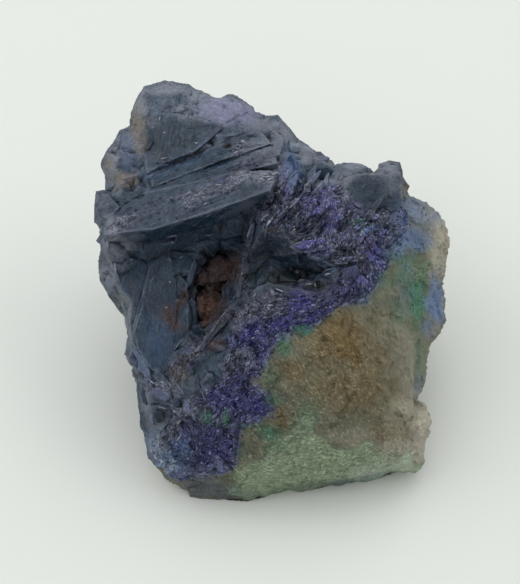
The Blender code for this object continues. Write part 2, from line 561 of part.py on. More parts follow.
def flattened(obj):
    """Brings the foot back to one plane after the thinning, and drops the slivers this leaves."""
    bm = bmesh.new()
    bm.from_mesh(obj.data)
    for vert in bm.verts:
        if vert.co.z < 0.08:
            vert.co.z = 0.0
    bmesh.ops.dissolve_degenerate(bm, edges=bm.edges, dist=0.05)
    bmesh.ops.triangulate(bm, faces=bm.faces)
    if not closed(bm):
        raise ValueError("the body is not closed")
    bm.to_mesh(obj.data)
    bm.free()


# ---- Materials ----
def material(name, colour, roughness, ior=1.5):
    made = bpy.data.materials.new(name)
    made.use_nodes = True
    surface = made.node_tree.nodes["Principled BSDF"]
    surface.inputs["Base Color"].default_value = (*colour, 1.0)
    surface.inputs["Roughness"].default_value = roughness
    surface.inputs["IOR"].default_value = ior
    made.diffuse_color = (*colour, 1.0)
    return made


def finished(obj, name, shift, made):
    """Names a piece, gives it its material and brings it to metres, with the foot's centre at the origin."""
    obj.name = name
    obj.data.name = name
    obj.data.transform(Matrix.Scale(MM, 4) @ Matrix.Translation(shift))
    obj.data.materials.clear()
    obj.data.materials.append(made)
    for polygon in obj.data.polygons:
        polygon.use_smooth = False
        polygon.material_index = 0


def main():
    clear_scene()
    body = new_object("body", roughened(refined(raw_body(), GRAIN)))
    thin = body.modifiers.new("thin", "DECIMATE")
    thin.ratio = BODY_TRIANGLES / len(body.data.polygons)
    settled(body)
    flattened(body)

    matrix = body.copy()
    matrix.data = body.data.copy()
    bpy.context.scene.collection.objects.link(matrix)
    block = matrix_block(-SEAM / 2)
    combined(matrix, block, "INTERSECT")
    discard(block)

    azurite = body
    grown = crystals(surface_tree(body))
    combined(azurite, grown, "UNION")
    block = matrix_block(SEAM / 2)
    combined(azurite, block, "DIFFERENCE")
    hollow = lump_shell(SEAM)
    combined(azurite, hollow, "DIFFERENCE")
    combined(matrix, hollow, "DIFFERENCE")
    limonite = lump_shell(0.0)
    discard(grown, block, hollow)

    pieces = [azurite, matrix, limonite]
    print("triangles", [len(p.data.polygons) for p in pieces])
    for piece in pieces:
        largest_island(cleaned(piece))
    print("triangles", [len(p.data.polygons) for p in pieces])
    corners = [vert.co for piece in pieces for vert in piece.data.vertices]
    low = [min(c[i] for c in corners) for i in range(3)]
    high = [max(c[i] for c in corners) for i in range(3)]
    shift = Vector((-(low[0] + high[0]) / 2, -(low[1] + high[1]) / 2, -low[2]))
    print("shift to the foot's centre, mm:", [round(c, 4) for c in shift], "size", [round(h - l, 2) for l, h in zip(low, high)])
    finished(azurite, "azurite", shift, material("azurite", (0.028, 0.045, 0.16), 0.32, 1.73))
    finished(matrix, "matrix", shift, material("host rock", (0.22, 0.16, 0.09), 0.85))
    finished(limonite, "vug_limonite", shift, material("limonite", (0.15, 0.055, 0.025), 0.75))


main()
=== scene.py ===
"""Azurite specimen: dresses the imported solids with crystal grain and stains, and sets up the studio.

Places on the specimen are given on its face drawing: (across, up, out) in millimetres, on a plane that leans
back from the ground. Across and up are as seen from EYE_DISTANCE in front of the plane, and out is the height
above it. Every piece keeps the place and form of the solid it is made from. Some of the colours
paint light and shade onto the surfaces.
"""

import math

import bpy
import numpy as np
from bpy.props import FloatProperty, FloatVectorProperty, IntProperty, PointerProperty
from bpy.types import Operator, Panel, PropertyGroup
from mathutils import Matrix, Vector
from mathutils.bvhtree import BVHTree


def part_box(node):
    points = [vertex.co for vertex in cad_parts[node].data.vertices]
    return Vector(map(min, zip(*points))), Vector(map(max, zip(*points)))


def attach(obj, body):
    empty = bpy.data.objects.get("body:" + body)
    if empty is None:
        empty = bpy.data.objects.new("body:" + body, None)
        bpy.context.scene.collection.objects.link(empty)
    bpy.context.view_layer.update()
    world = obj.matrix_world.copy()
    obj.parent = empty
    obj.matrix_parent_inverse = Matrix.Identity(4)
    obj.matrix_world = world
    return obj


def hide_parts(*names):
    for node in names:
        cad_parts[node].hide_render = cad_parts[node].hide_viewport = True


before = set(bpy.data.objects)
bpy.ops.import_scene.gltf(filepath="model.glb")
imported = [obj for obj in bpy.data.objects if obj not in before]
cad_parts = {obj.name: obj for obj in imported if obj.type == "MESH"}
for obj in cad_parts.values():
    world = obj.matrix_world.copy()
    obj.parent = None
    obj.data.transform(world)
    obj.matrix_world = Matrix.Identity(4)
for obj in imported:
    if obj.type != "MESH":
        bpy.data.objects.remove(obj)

bl_info = {
    "name": "Azurite specimen",
    "version": (1, 0, 0),
    "blender": (4, 5, 0),
    "location": "View3D > Sidebar > Specimen",
    "description": "Builds the looks of an azurite specimen on its packed solids",
    "category": "Object",
}

MM = 0.001
LEAN = math.radians(38.0)  # angle between the face drawing and the ground
EYE_DISTANCE = 230.0
VIEW_HEIGHT = 77.09  # what the camera takes in at the drawing, from bottom to top
FACE_CENTRE = np.array((-1.8257, -6.4585, 23.0))
ACROSS = np.array((1.0, 0.0, 0.0))
UP = np.array((0.0, math.cos(LEAN), math.sin(LEAN)))
OUT = np.array((0.0, -math.sin(LEAN), math.cos(LEAN)))
SEAM = 0.34  # gap between pieces that grew against each other
TOUCHING = 1.2 * SEAM

# Where the azurite's edge meets the matrix on the visible face.
CONTACT = [
    (19.6, 10.2), (18.6, 7.2), (17.2, 4.8), (15.4, 1.6), (13.8, -1.0), (10.2, -1.8), (8.0, -3.4), (5.6, -4.9),
    (3.0, -5.3), (1.3, -8.0), (0.2, -10.0), (-0.9, -11.9), (0.6, -13.3), (1.5, -15.3), (-0.1, -16.9),
    (-2.6, -17.6), (-2.9, -20.0), (-3.5, -23.2), (-7.0, -24.1), (-10.0, -24.4), (-12.0, -24.0),
]

# Outlines of zones on the face drawing.
GRANULAR = [
    (-3.2, -2.6), (-1.0, -0.7), (1.4, 0.3), (4.0, -0.3), (7.0, -0.1), (9.8, 0.5), (10.4, 3.2), (13.0, 4.4),
    (13.6, 6.4), (14.2, 9.2), (17.4, 9.8), (19.0, 11.5), (24.0, 12.0), (18.0, -1.0), (6.0, -8.0),
    (3.0, -16.0), (-2.0, -26.0), (-13.0, -26.5), (-14.6, -20.0), (-11.0, -17.2), (-9.0, -14.2),
    (-7.2, -13.0), (-5.2, -11.4), (-4.0, -7.2),
]
SPLINTERY = [
    (-0.6, 9.4), (1.0, 13.0), (3.4, 14.6), (5.2, 13.6), (11.0, 14.4), (12.2, 11.2), (16.8, 10.4), (17.4, 8.0),
    (15.0, 6.6), (13.6, 4.2), (9.8, 3.8), (8.0, 4.8), (5.0, 5.4), (4.0, 7.2), (0.6, 8.0),
]
LEDGE = [
    (-22.0, 9.4), (-20.6, 7.2), (-7.0, 10.0), (1.6, 13.2), (3.6, 15.0), (4.6, 20.0), (-0.6, 21.4),
    (-9.6, 17.8), (-15.0, 15.6), (-21.0, 12.6),
]
CAP = [
    (-15.6, 15.6), (-9.4, 17.6), (-4.0, 20.4), (3.4, 21.6), (3.0, 24.0), (-4.0, 27.0), (-16.0, 29.0),
    (-19.0, 20.0),
]
LEFT_SLAB = [(-19.0, 4.0), (-9.0, 5.0), (-9.4, -6.0), (-12.0, -11.5), (-16.6, -11.0), (-18.5, -2.0)]
WALL = [
    (-3.4, -23.2), (0.0, -21.8), (2.8, -20.2), (4.6, -17.6), (5.8, -15.8), (7.4, -16.4), (8.6, -18.8),
    (12.0, -20.4), (17.0, -21.9), (26.0, -23.0), (26.0, -34.0), (-2.6, -34.0), (-3.0, -25.4),
]
MOSSY_PATCH = [(2.0, -21.0), (5.0, -12.0), (9.0, -16.0), (9.0, -21.0)]
ROUGH_ROCK = [(-4, -25), (-2, -10), (3, -6), (9, -5), (15, -8), (15, -16), (20, -21), (16, -24)]

# Soft spots on the face drawing: (across, up, half length, half width, turn in degrees, strength).
# Grainy and splintery patches of the azurite beside its large fields.
GRAINY = [
    (1.6, 15.2, 1.7, 1.0, 20, 0.8), (-8.3, 12.7, 2.7, 1.1, 25, 0.75), (-3.9, 14.4, 1.8, 0.9, 25, 0.8),
    (-2.8, 18.9, 1.0, 1.0, 20, 0.8), (-17.6, 9.2, 2.0, 1.0, 15, 0.7), (-13.4, -12.6, 2.2, 1.2, -10, 0.6),
    (-10.4, -16.6, 1.6, 1.6, 0, 0.7), (-10.0, -9.0, 2.6, 1.2, 40, 0.7), (-3.2, -3.4, 1.2, 1.2, 0, 0.8),
    (-12.0, 11.4, 6.4, 1.5, 15, 0.3), (-2.6, 15.8, 4.0, 1.4, 20, 0.4),
]
SPLINTERED = [
    (-1.7, 4.0, 0.6, 4.8, -4, 0.8), (-5.6, -4.0, 4.0, 0.6, 50, 0.7), (-9.4, -8.8, 4.0, 1.1, 48, 0.7),
]

# The cleft between the limonite lumps, and the lumps' rusty sides.
CLEFT = [(-5.0, 0.5, 3.4, 0.55, 6, 1.0)]
RUSTY_LUMPS = [(-6.2, -1.9, 1.3, 2.2, -10, 1.0), (-4.0, 3.2, 1.2, 0.8, 0, 0.3)]

# Tones of the azurite: vivid grains, thin pale crystals, and scuffs and dust. The pale blue and the dust
# spots also paint light onto places that lie in shade; the strongest dust spots paint it near white.
VIOLET = [
    (-4.2, 23.6, 4.4, 1.6, -8, 0.24), (3.8, 15.0, 1.2, 2.6, 10, 0.5), (5.2, -1.2, 2.0, 1.6, 60, 1.0),
    (-1.2, -5.6, 2.6, 1.5, 30, 1.0), (-3.4, -14.0, 2.8, 2.4, 0, 0.9), (7.6, 11.9, 2.8, 1.6, -10, 0.7),
    (15.4, 5.2, 1.3, 2.4, 20, 0.8), (-6.0, -20.4, 4.4, 3.0, 0, 0.6), (12.4, 0.4, 3.0, 1.4, 0, 0.5),
    (-0.6, -14.6, 2.0, 1.6, 0, 1.0), (9.6, 9.4, 1.0, 2.0, -35, 0.8), (3.0, -4.2, 3.2, 1.0, 20, 0.9),
    (0.6, -7.6, 0.8, 2.0, 0, 0.7), (7.0, -3.4, 1.8, 1.0, 30, 1.0), (-5.4, -13.8, 1.6, 1.4, 0, 0.7),
    (6.8, 6.3, 1.6, 0.6, 15, 0.6), (10.6, 7.0, 2.2, 1.4, 20, 0.4), (13.9, 6.6, 1.2, 1.6, 20, 0.5),
    (8.0, 5.2, 1.4, 0.6, 15, 0.7), (16.6, 6.6, 1.0, 1.6, 0, 0.5), (8.8, 13.2, 1.2, 1.0, 0, 0.8),
    (12.6, 10.6, 1.2, 1.4, 0, 0.4),
]
PALE_BLUE_AND_PAINTED_LIGHT = [
    (-10.6, -21.4, 1.6, 2.2, 10, 0.8), (-17.2, 18.6, 1.4, 2.1, 0, 0.4), (18.6, 6.4, 1.0, 1.6, 0, 0.7),
    (19.2, 10.2, 1.0, 2.2, 0, 0.5), (4.4, 16.2, 1.2, 3.0, 10, 1.0), (-13.0, 16.0, 3.6, 0.7, 16, 0.3),
    (-12.4, 24.6, 2.4, 1.3, 0, 0.1), (-13.8, -19.6, 1.2, 1.8, 0, 0.7), (-15.6, -9.4, 0.9, 2.6, 25, 0.4),
    (14.6, 8.2, 1.6, 0.8, 20, 0.6), (-5.0, 14.6, 0.6, 0.4, 0, 0.4), (-13.2, -6.6, 2.0, 3.0, 0, 0.22),
    (8.4, 16.0, 1.6, 1.0, 0, 0.3), (-12.4, -22.8, 2.0, 2.0, 30, 1.15), (8.1, 14.9, 1.6, 1.3, 0, 0.8),
    (17.6, 8.7, 1.0, 1.4, 0, 0.6), (-11.6, -24.3, 1.2, 1.0, 0, 0.8), (-9.5, -24.0, 1.0, 1.0, 0, 0.5),
    (16.9, 6.3, 1.0, 1.4, 0, 0.4), (5.0, 13.5, 1.4, 1.0, 0, 0.5), (12.9, 9.4, 1.2, 1.4, 0, 0.3),
    (10.0, 6.6, 1.6, 1.0, 20, 0.3), (-6.3, 19.8, 1.3, 0.6, 20, 0.6), (19.1, 9.5, 1.0, 1.1, 0, 0.8),
    (-5.8, -23.1, 1.3, 1.0, 0, 0.4),
]
DUST_AND_PAINTED_LIGHT = [
    (8.1, 14.8, 1.6, 1.0, 0, 1.2), (8.9, 16.4, 1.3, 0.8, 0, 1.25), (10.2, 6.6, 1.8, 1.1, 20, 1.0),
    (2.8, 13.9, 1.2, 1.0, 0, 0.9), (1.7, 16.3, 1.3, 0.8, 20, 0.9), (8.7, 13.1, 1.1, 0.8, 0, 0.7),
    (12.7, 10.6, 0.9, 1.2, 0, 0.7), (-1.2, -2.2, 0.8, 0.8, 0, 0.7), (-19.3, 6.8, 0.9, 1.8, 0, 1.2),
    (-8.2, 18.3, 1.2, 0.5, 20, 0.4), (16.9, 6.3, 0.9, 1.4, 0, 0.4), (6.9, 11.5, 1.2, 0.9, 0, 0.5),
    (11.7, 7.4, 1.1, 0.8, 0, 0.6), (-19.1, 18.6, 0.9, 1.6, 0, 0.9), (-3.2, 10.6, 1.8, 0.5, 14, 0.45),
    (-8.2, 0.5, 0.7, 1.3, 0, 0.6), (-8.3, -3.4, 0.8, 1.3, 0, 0.6), (-7.5, 5.2, 0.9, 0.8, 0, 0.45),
    (2.8, 18.0, 1.2, 0.9, 0, 0.7), (-13.9, 22.4, 0.8, 1.1, 0, 0.5), (-6.3, 19.9, 1.0, 0.5, 20, 0.6),
    (2.1, 22.0, 1.1, 0.8, -20, 0.6), (13.9, 6.5, 1.5, 1.2, 20, 0.7), (5.0, 13.5, 1.2, 0.9, 0, 0.6),
    (-5.8, -23.1, 1.3, 1.0, 0, 0.45), (-17.2, 18.6, 1.4, 2.1, 0, 0.4), (-12.0, 24.4, 2.6, 1.2, 0, 0.4),
    (-7.4, 23.2, 2.4, 1.0, 0, 0.7), (3.4, 15.2, 1.1, 2.6, 8, 0.5), (-13.0, 16.0, 3.6, 0.6, 16, 0.35),
    (-5.0, 24.2, 4.6, 1.8, -8, 0.8), (-0.8, 22.4, 2.6, 1.4, -20, 0.7), (-12.6, 26.6, 3.2, 0.9, 0, 0.8),
    (-9.6, 23.6, 1.3, 0.6, 30, 0.8), (17.2, 17.0, 1.7, 0.7, 0, 0.8), (12.4, 16.7, 2.6, 0.6, 8, 0.8),
    (8.2, 17.6, 1.2, 0.7, 0, 0.7), (1.0, 19.2, 2.6, 1.8, 20, 0.6), (9.2, 14.3, 1.8, 0.6, 20, 0.6),
    (-17.8, 9.2, 2.0, 0.9, 15, 0.4), (-18.0, 19.0, 1.6, 2.6, 0, 0.25), (0.6, 15.4, 2.2, 0.9, 20, 0.55),
    (-8.3, 12.8, 2.4, 0.9, 25, 0.5), (-2.9, 14.8, 2.2, 0.7, 24, 0.8), (-19.9, 9.4, 1.0, 1.0, 0, 0.7),
    (-2.6, 18.9, 1.0, 0.8, 20, 0.6), (0.8, -1.0, 2.6, 1.4, -10, 0.3), (-12.6, -12.6, 2.0, 1.4, -20, 0.5),
    (15.6, 9.8, 1.6, 0.5, 0, 0.5), (-14.2, -17.0, 0.7, 1.6, 0, 0.5), (9.8, 7.0, 1.4, 0.7, 0, 0.5),
    (-3.0, -3.4, 1.2, 1.0, 0, 0.4), (-19.8, 7.4, 1.1, 1.5, 0, 0.6), (-20.6, 11.6, 1.0, 1.6, 0, 0.4),
    (-9.4, -15.2, 0.6, 1.2, 10, 0.7), (19.0, 13.6, 0.8, 2.0, 0, 0.6), (11.4, 12.2, 0.7, 2.0, 20, 0.4),
    (-13.6, -20.0, 1.2, 1.6, 0, 0.6), (7.6, 11.9, 2.4, 1.2, 10, 0.35), (-8.6, -8.0, 1.2, 0.8, 30, 0.5),
    (-16.6, -4.4, 0.5, 2.4, 0, 0.4), (-19.0, 6.2, 1.7, 1.5, 0, 1.0), (5.9, 18.2, 2.4, 1.2, -38, 0.95),
    (10.6, 14.8, 2.2, 1.0, 15, 0.9), (16.6, 15.8, 1.8, 0.9, 0, 0.8), (-12.2, -23.2, 2.0, 1.2, -20, 0.8),
    (-19.6, 17.6, 1.0, 2.0, 0, 0.7), (3.0, 20.8, 1.6, 1.2, -30, 0.8), (-8.7, 25.7, 1.6, 1.0, 0, 0.9),
    (-9.5, -23.8, 2.4, 0.7, 8, 0.6), (17.8, 8.8, 1.0, 1.4, 0, 0.5), (-2.9, 17.7, 1.2, 0.8, 20, 0.6),
    (-6.1, 19.7, 1.7, 0.7, 22, 0.7), (9.0, 11.6, 2.4, 2.0, 0, 0.5), (11.7, 10.0, 1.0, 1.4, 0, 0.5),
    (-13.4, -20.4, 1.2, 2.8, 0, 0.8), (-15.0, -14.5, 0.8, 1.6, 0, 0.7), (-19.9, 2.2, 1.0, 2.4, 0, 0.7),
    (-7.9, 5.1, 1.3, 0.8, 0, 0.5), (-1.6, 11.4, 1.6, 0.8, 15, 0.5), (6.6, 13.9, 1.4, 0.8, 0, 0.5),
    (-11.9, -18.6, 0.9, 1.0, 0, 0.5), (-3.0, -5.0, 0.9, 0.9, 0, 0.5), (17.4, 14.3, 1.4, 1.6, 0, 0.5),
    (15.4, 9.4, 1.0, 0.6, 0, 0.6), (-18.5, 3.6, 0.9, 1.2, 0, 0.6), (-16.5, 7.4, 1.2, 0.8, 15, 0.5),
    (-19.3, 13.7, 1.0, 0.9, 0, 0.6), (6.5, 13.7, 1.2, 0.7, 0, 0.6), (11.6, 9.4, 1.2, 1.0, 0, 0.6),
    (5.7, 11.5, 1.2, 1.0, 0, 0.4), (15.4, 7.4, 1.0, 1.0, 0, 0.45), (-10.4, 24.0, 1.2, 0.8, 0, 0.9),
    (-15.6, 24.4, 0.8, 1.2, 0, 0.7),
]

# Stains on azurite and matrix.
OCHRE = [
    (-12.6, 26.6, 3.2, 0.9, 0, 0.25), (-16.0, 21.4, 1.2, 3.2, 5, 0.65), (-17.4, 14.8, 1.9, 1.1, -10, 0.75),
    (-20.2, 17.0, 0.9, 1.4, 0, 0.6), (-15.7, 18.8, 0.5, 1.4, 0, 0.5), (-16.6, 24.0, 0.6, 1.2, 0, 0.5),
    (-10.6, -10.8, 1.5, 1.3, -30, 0.5), (-9.2, -8.4, 3.2, 0.8, 48, 0.35), (-0.4, -11.9, 1.0, 0.7, 0, 0.8),
    (-18.4, 13.6, 0.9, 0.8, 0, 0.4),
]
RUST = [
    (-4.8, 3.0, 2.9, 2.2, 0, 0.8), (-6.6, -1.8, 2.5, 3.2, 0, 0.8), (-8.6, 1.4, 0.9, 1.6, 0, 0.6),
    (-11.7, -3.4, 1.4, 1.9, 30, 0.66), (-10.2, -1.0, 0.7, 2.2, -25, 0.7), (-16.8, 0.8, 0.6, 1.8, 0, 0.35),
    (-5.8, -6.9, 1.2, 0.7, 0, 0.65), (1.0, 8.0, 1.6, 0.5, 10, 0.5), (-10.6, -8.8, 0.9, 2.0, -30, 0.35),
    (-3.6, -3.2, 0.8, 0.8, 0, 0.35), (-15.6, -6.2, 0.6, 1.0, 0, 0.3),
]
MALACHITE = [
    (3.1, -7.2, 1.2, 1.8, 0, 0.7), (5.7, -5.1, 1.5, 0.7, 0, 0.9), (1.3, -11.0, 1.3, 1.7, 0, 0.55),
    (1.2, -18.8, 2.2, 1.4, -20, 0.8), (1.9, -14.2, 1.4, 0.8, 0, 0.6), (19.4, 3.6, 2.6, 3.2, 20, 0.6),
    (20.9, 0.0, 1.3, 4.2, 0, 1.0), (16.8, 1.6, 2.0, 2.2, 30, 0.45), (18.6, -2.2, 1.8, 2.6, 0, 0.45),
    (-6.9, -16.6, 0.8, 0.9, 0, 0.7), (-4.5, -16.6, 0.45, 1.4, 0, 0.8), (-5.6, -17.4, 1.6, 0.7, 0, 0.3),
    (20.9, -8.6, 0.9, 4.0, 0, 0.5), (-1.4, -17.6, 1.6, 0.7, 0, 0.45), (6.2, -15.8, 2.4, 2.4, 0, 0.4),
    (1.4, -20.2, 2.2, 0.8, 20, 0.5), (14.0, -1.0, 1.4, 1.4, 0, 0.3), (-2.4, -21.4, 0.8, 1.6, 0, 0.4),
]
BLUE_STAIN = [
    (19.2, 3.0, 1.6, 2.4, 0, 0.3), (18.6, 6.8, 1.8, 2.2, 0, 0.95), (20.0, 12.0, 1.2, 2.0, 20, 0.5),
    (-7.4, -26.0, 5.0, 1.8, -8, 0.45), (7.0, -4.0, 1.6, 0.8, 25, 0.9), (3.0, -5.9, 1.4, 0.7, 0, 0.5),
    (20.2, 6.9, 2.2, 2.0, 20, 0.85), (18.2, 6.6, 1.6, 1.8, 0, 0.8), (23.1, -1.4, 1.2, 3.6, 0, 0.95),
    (22.2, -4.6, 1.0, 1.4, 0, 0.7), (21.0, -12.2, 0.7, 1.8, 0, 0.5), (1.4, -15.8, 0.9, 1.2, 0, 0.4),
    (19.0, 0.0, 1.4, 2.6, 0, 0.35), (20.8, 10.8, 3.0, 2.0, -35, 0.7), (12.6, -1.4, 2.4, 0.6, 0, 0.4),
    (-5.4, -26.2, 3.4, 1.4, 0, 0.35), (15.4, 1.0, 0.7, 1.6, -30, 0.5), (0.8, -9.0, 0.5, 1.0, 0, 0.5),
    (11.0, -25.1, 4.4, 0.7, 8, 0.4), (16.2, -24.0, 2.8, 0.6, 12, 0.35), (16.0, -23.2, 2.4, 0.8, 10, 0.3),
]

# Tones of the matrix: iron-brown, and pale rock together with painted light, strongest along the right-hand
# rim.
BROWN = [
    (11.0, -6.6, 5.4, 3.6, -35, 1.0), (4.2, -10.4, 2.6, 1.4, -20, 0.7), (12.6, -12.6, 5.0, 3.2, 0, 0.7),
    (17.4, -18.4, 2.6, 1.4, 0, 0.7), (2.8, -16.8, 1.2, 1.6, 0, 0.6), (9.0, -12.8, 3.0, 2.6, 0, 0.6),
]
PALE_ROCK_AND_PAINTED_LIGHT = [
    (23.6, 5.6, 1.4, 4.6, 0, 1.0), (21.6, -18.0, 1.8, 5.0, 0, 1.2), (20.4, -15.0, 2.4, 1.6, 0, 0.7),
    (24.2, -0.4, 0.7, 1.6, 0, 0.5), (17.0, -5.0, 2.2, 4.4, 0, 0.12), (18.6, -20.4, 2.6, 1.4, 0, 0.8),
    (19.4, -10.0, 1.8, 4.2, 0, 0.35), (13.0, -19.0, 4.0, 1.2, -10, 0.35), (21.9, 10.2, 1.8, 1.4, -40, 0.6),
    (22.8, -4.5, 0.9, 1.4, 0, 0.6), (17.0, -23.3, 4.0, 1.4, 8, 1.2), (17.8, -18.0, 1.8, 1.2, 0, 0.4),
    (20.4, -21.4, 1.8, 1.2, 0, 1.0),
]

# Painted shade: darker colour in the deep, shaded hollows of the azurite. Above 0.7 the surface sinks too.
PAINTED_SHADE = [
    (1.6, 5.6, 3.4, 1.8, -12, 0.68), (3.9, 6.9, 1.5, 0.9, 0, 0.68), (7.4, 0.9, 2.6, 1.0, 4, 1.0),
    (-8.6, 21.6, 2.4, 1.1, -15, 0.35), (-7.8, -16.4, 0.9, 1.0, 0, 0.45), (-9.3, -14.0, 0.9, 0.7, 0, 0.3),
    (-14.0, 0.6, 1.6, 3.4, 10, 0.22), (-1.6, 1.2, 1.1, 1.7, 0, 0.68), (-2.0, 5.4, 1.5, 1.9, 0, 0.66),
    (-4.6, -3.4, 1.5, 0.7, 50, 0.5), (-8.6, 20.8, 3.0, 1.2, 20, 0.2), (15.2, 13.6, 2.6, 1.5, 8, 0.3),
    (-6.3, -3.9, 3.2, 0.45, 52, 0.55), (-1.7, 4.0, 0.7, 4.6, -4, 0.7), (-2.9, -0.6, 0.6, 1.6, 0, 0.5),
    (3.6, 2.1, 4.8, 1.7, -6, 1.0), (11.6, 2.6, 1.2, 0.9, 0, 0.5), (-4.4, -3.0, 1.2, 0.8, 50, 0.5),
    (-6.0, 0.6, 1.6, 0.5, 10, 0.6), (-4.6, 5.0, 2.4, 0.8, 0, 0.9), (-10.4, 19.8, 2.4, 1.0, 20, 0.35),
    (-13.2, 19.4, 1.1, 3.0, 0, 0.5), (-12.0, 4.6, 3.6, 1.2, 0, 0.15), (-10.0, -12.0, 1.2, 0.8, 0, 0.35),
    (0.8, 17.8, 1.8, 0.6, 20, 0.4), (-9.6, 19.6, 1.4, 0.6, 20, 0.4), (11.2, 5.5, 1.2, 0.8, 0, 0.8),
    (-4.2, 19.3, 0.9, 0.5, 10, 0.9), (-8.0, 8.0, 5.0, 1.2, 14, 0.15), (-13.0, -16.6, 1.3, 1.5, 0, 0.4),
    (2.4, 7.4, 2.4, 1.0, 0, 0.5), (-7.4, -5.6, 1.2, 1.4, 40, 0.6), (1.2, -12.0, 1.4, 1.8, 0, 0.3),
    (2.2, 12.2, 1.8, 0.9, 20, 0.2), (9.1, 1.4, 1.2, 0.9, 0, 0.69), (-4.2, -2.6, 0.9, 0.9, 0, 0.68),
    (-3.7, 0.3, 0.7, 1.0, 0, 0.66), (-9.9, 19.6, 1.4, 0.7, 20, 0.69), (-1.5, 13.1, 1.7, 0.6, 12, 0.4),
    (-3.6, -12.9, 1.0, 0.9, 0, 0.42), (0.1, -12.9, 0.8, 0.8, 0, 0.35), (5.5, 6.7, 0.9, 0.7, 0, 0.4),
    (-13.9, -18.9, 0.9, 1.2, 0, 0.25), (-20.5, 4.9, 0.7, 1.2, 0, 0.3), (-5.0, 15.0, 1.3, 0.5, 14, 0.35),
    (-2.5, 15.8, 1.3, 0.5, 14, 0.3), (-0.3, 22.0, 1.1, 0.8, 0, 0.25),
]

# Painted shade: darker colour on shaded parts of the matrix.
ROCK_PAINTED_SHADE = [
    (2.2, -8.8, 1.5, 4.2, -8, 0.42), (12.8, -2.6, 1.8, 1.2, 0, 0.3), (4.9, -18.2, 1.4, 1.2, 0, 0.3),
    (1.6, -21.0, 1.5, 1.2, 0, 0.3), (-1.4, -20.0, 1.6, 2.8, 0, 0.32), (1.4, -15.4, 1.4, 2.2, 0, 0.45),
    (6.0, -5.0, 2.4, 0.9, 20, 0.3), (-6.2, -25.6, 4.0, 1.7, -8, 0.35), (13.6, -4.0, 2.0, 1.8, 0, 0.2),
    (-1.6, -26.4, 3.0, 0.8, 0, 0.4), (6.0, -25.8, 6.0, 0.8, 6, 0.5), (11.0, -25.2, 4.0, 0.6, 8, 0.7),
    (16.0, -24.2, 2.8, 0.6, 12, 0.7), (3.0, -14.1, 1.2, 1.5, 0, 0.4), (4.8, -7.4, 1.8, 1.2, 0, 0.25),
    (4.6, -15.0, 0.5, 3.0, -30, 0.3), (13.0, -15.6, 3.6, 0.6, 20, 0.3), (20.5, 7.2, 0.9, 1.1, 0, 0.45),
    (17.2, -1.5, 1.0, 1.3, 0, 0.4), (0.7, -17.2, 0.9, 1.1, 0, 0.5), (8.3, -17.3, 1.3, 0.9, 0, 0.35),
    (0.1, -19.1, 0.9, 0.9, 0, 0.45),
]
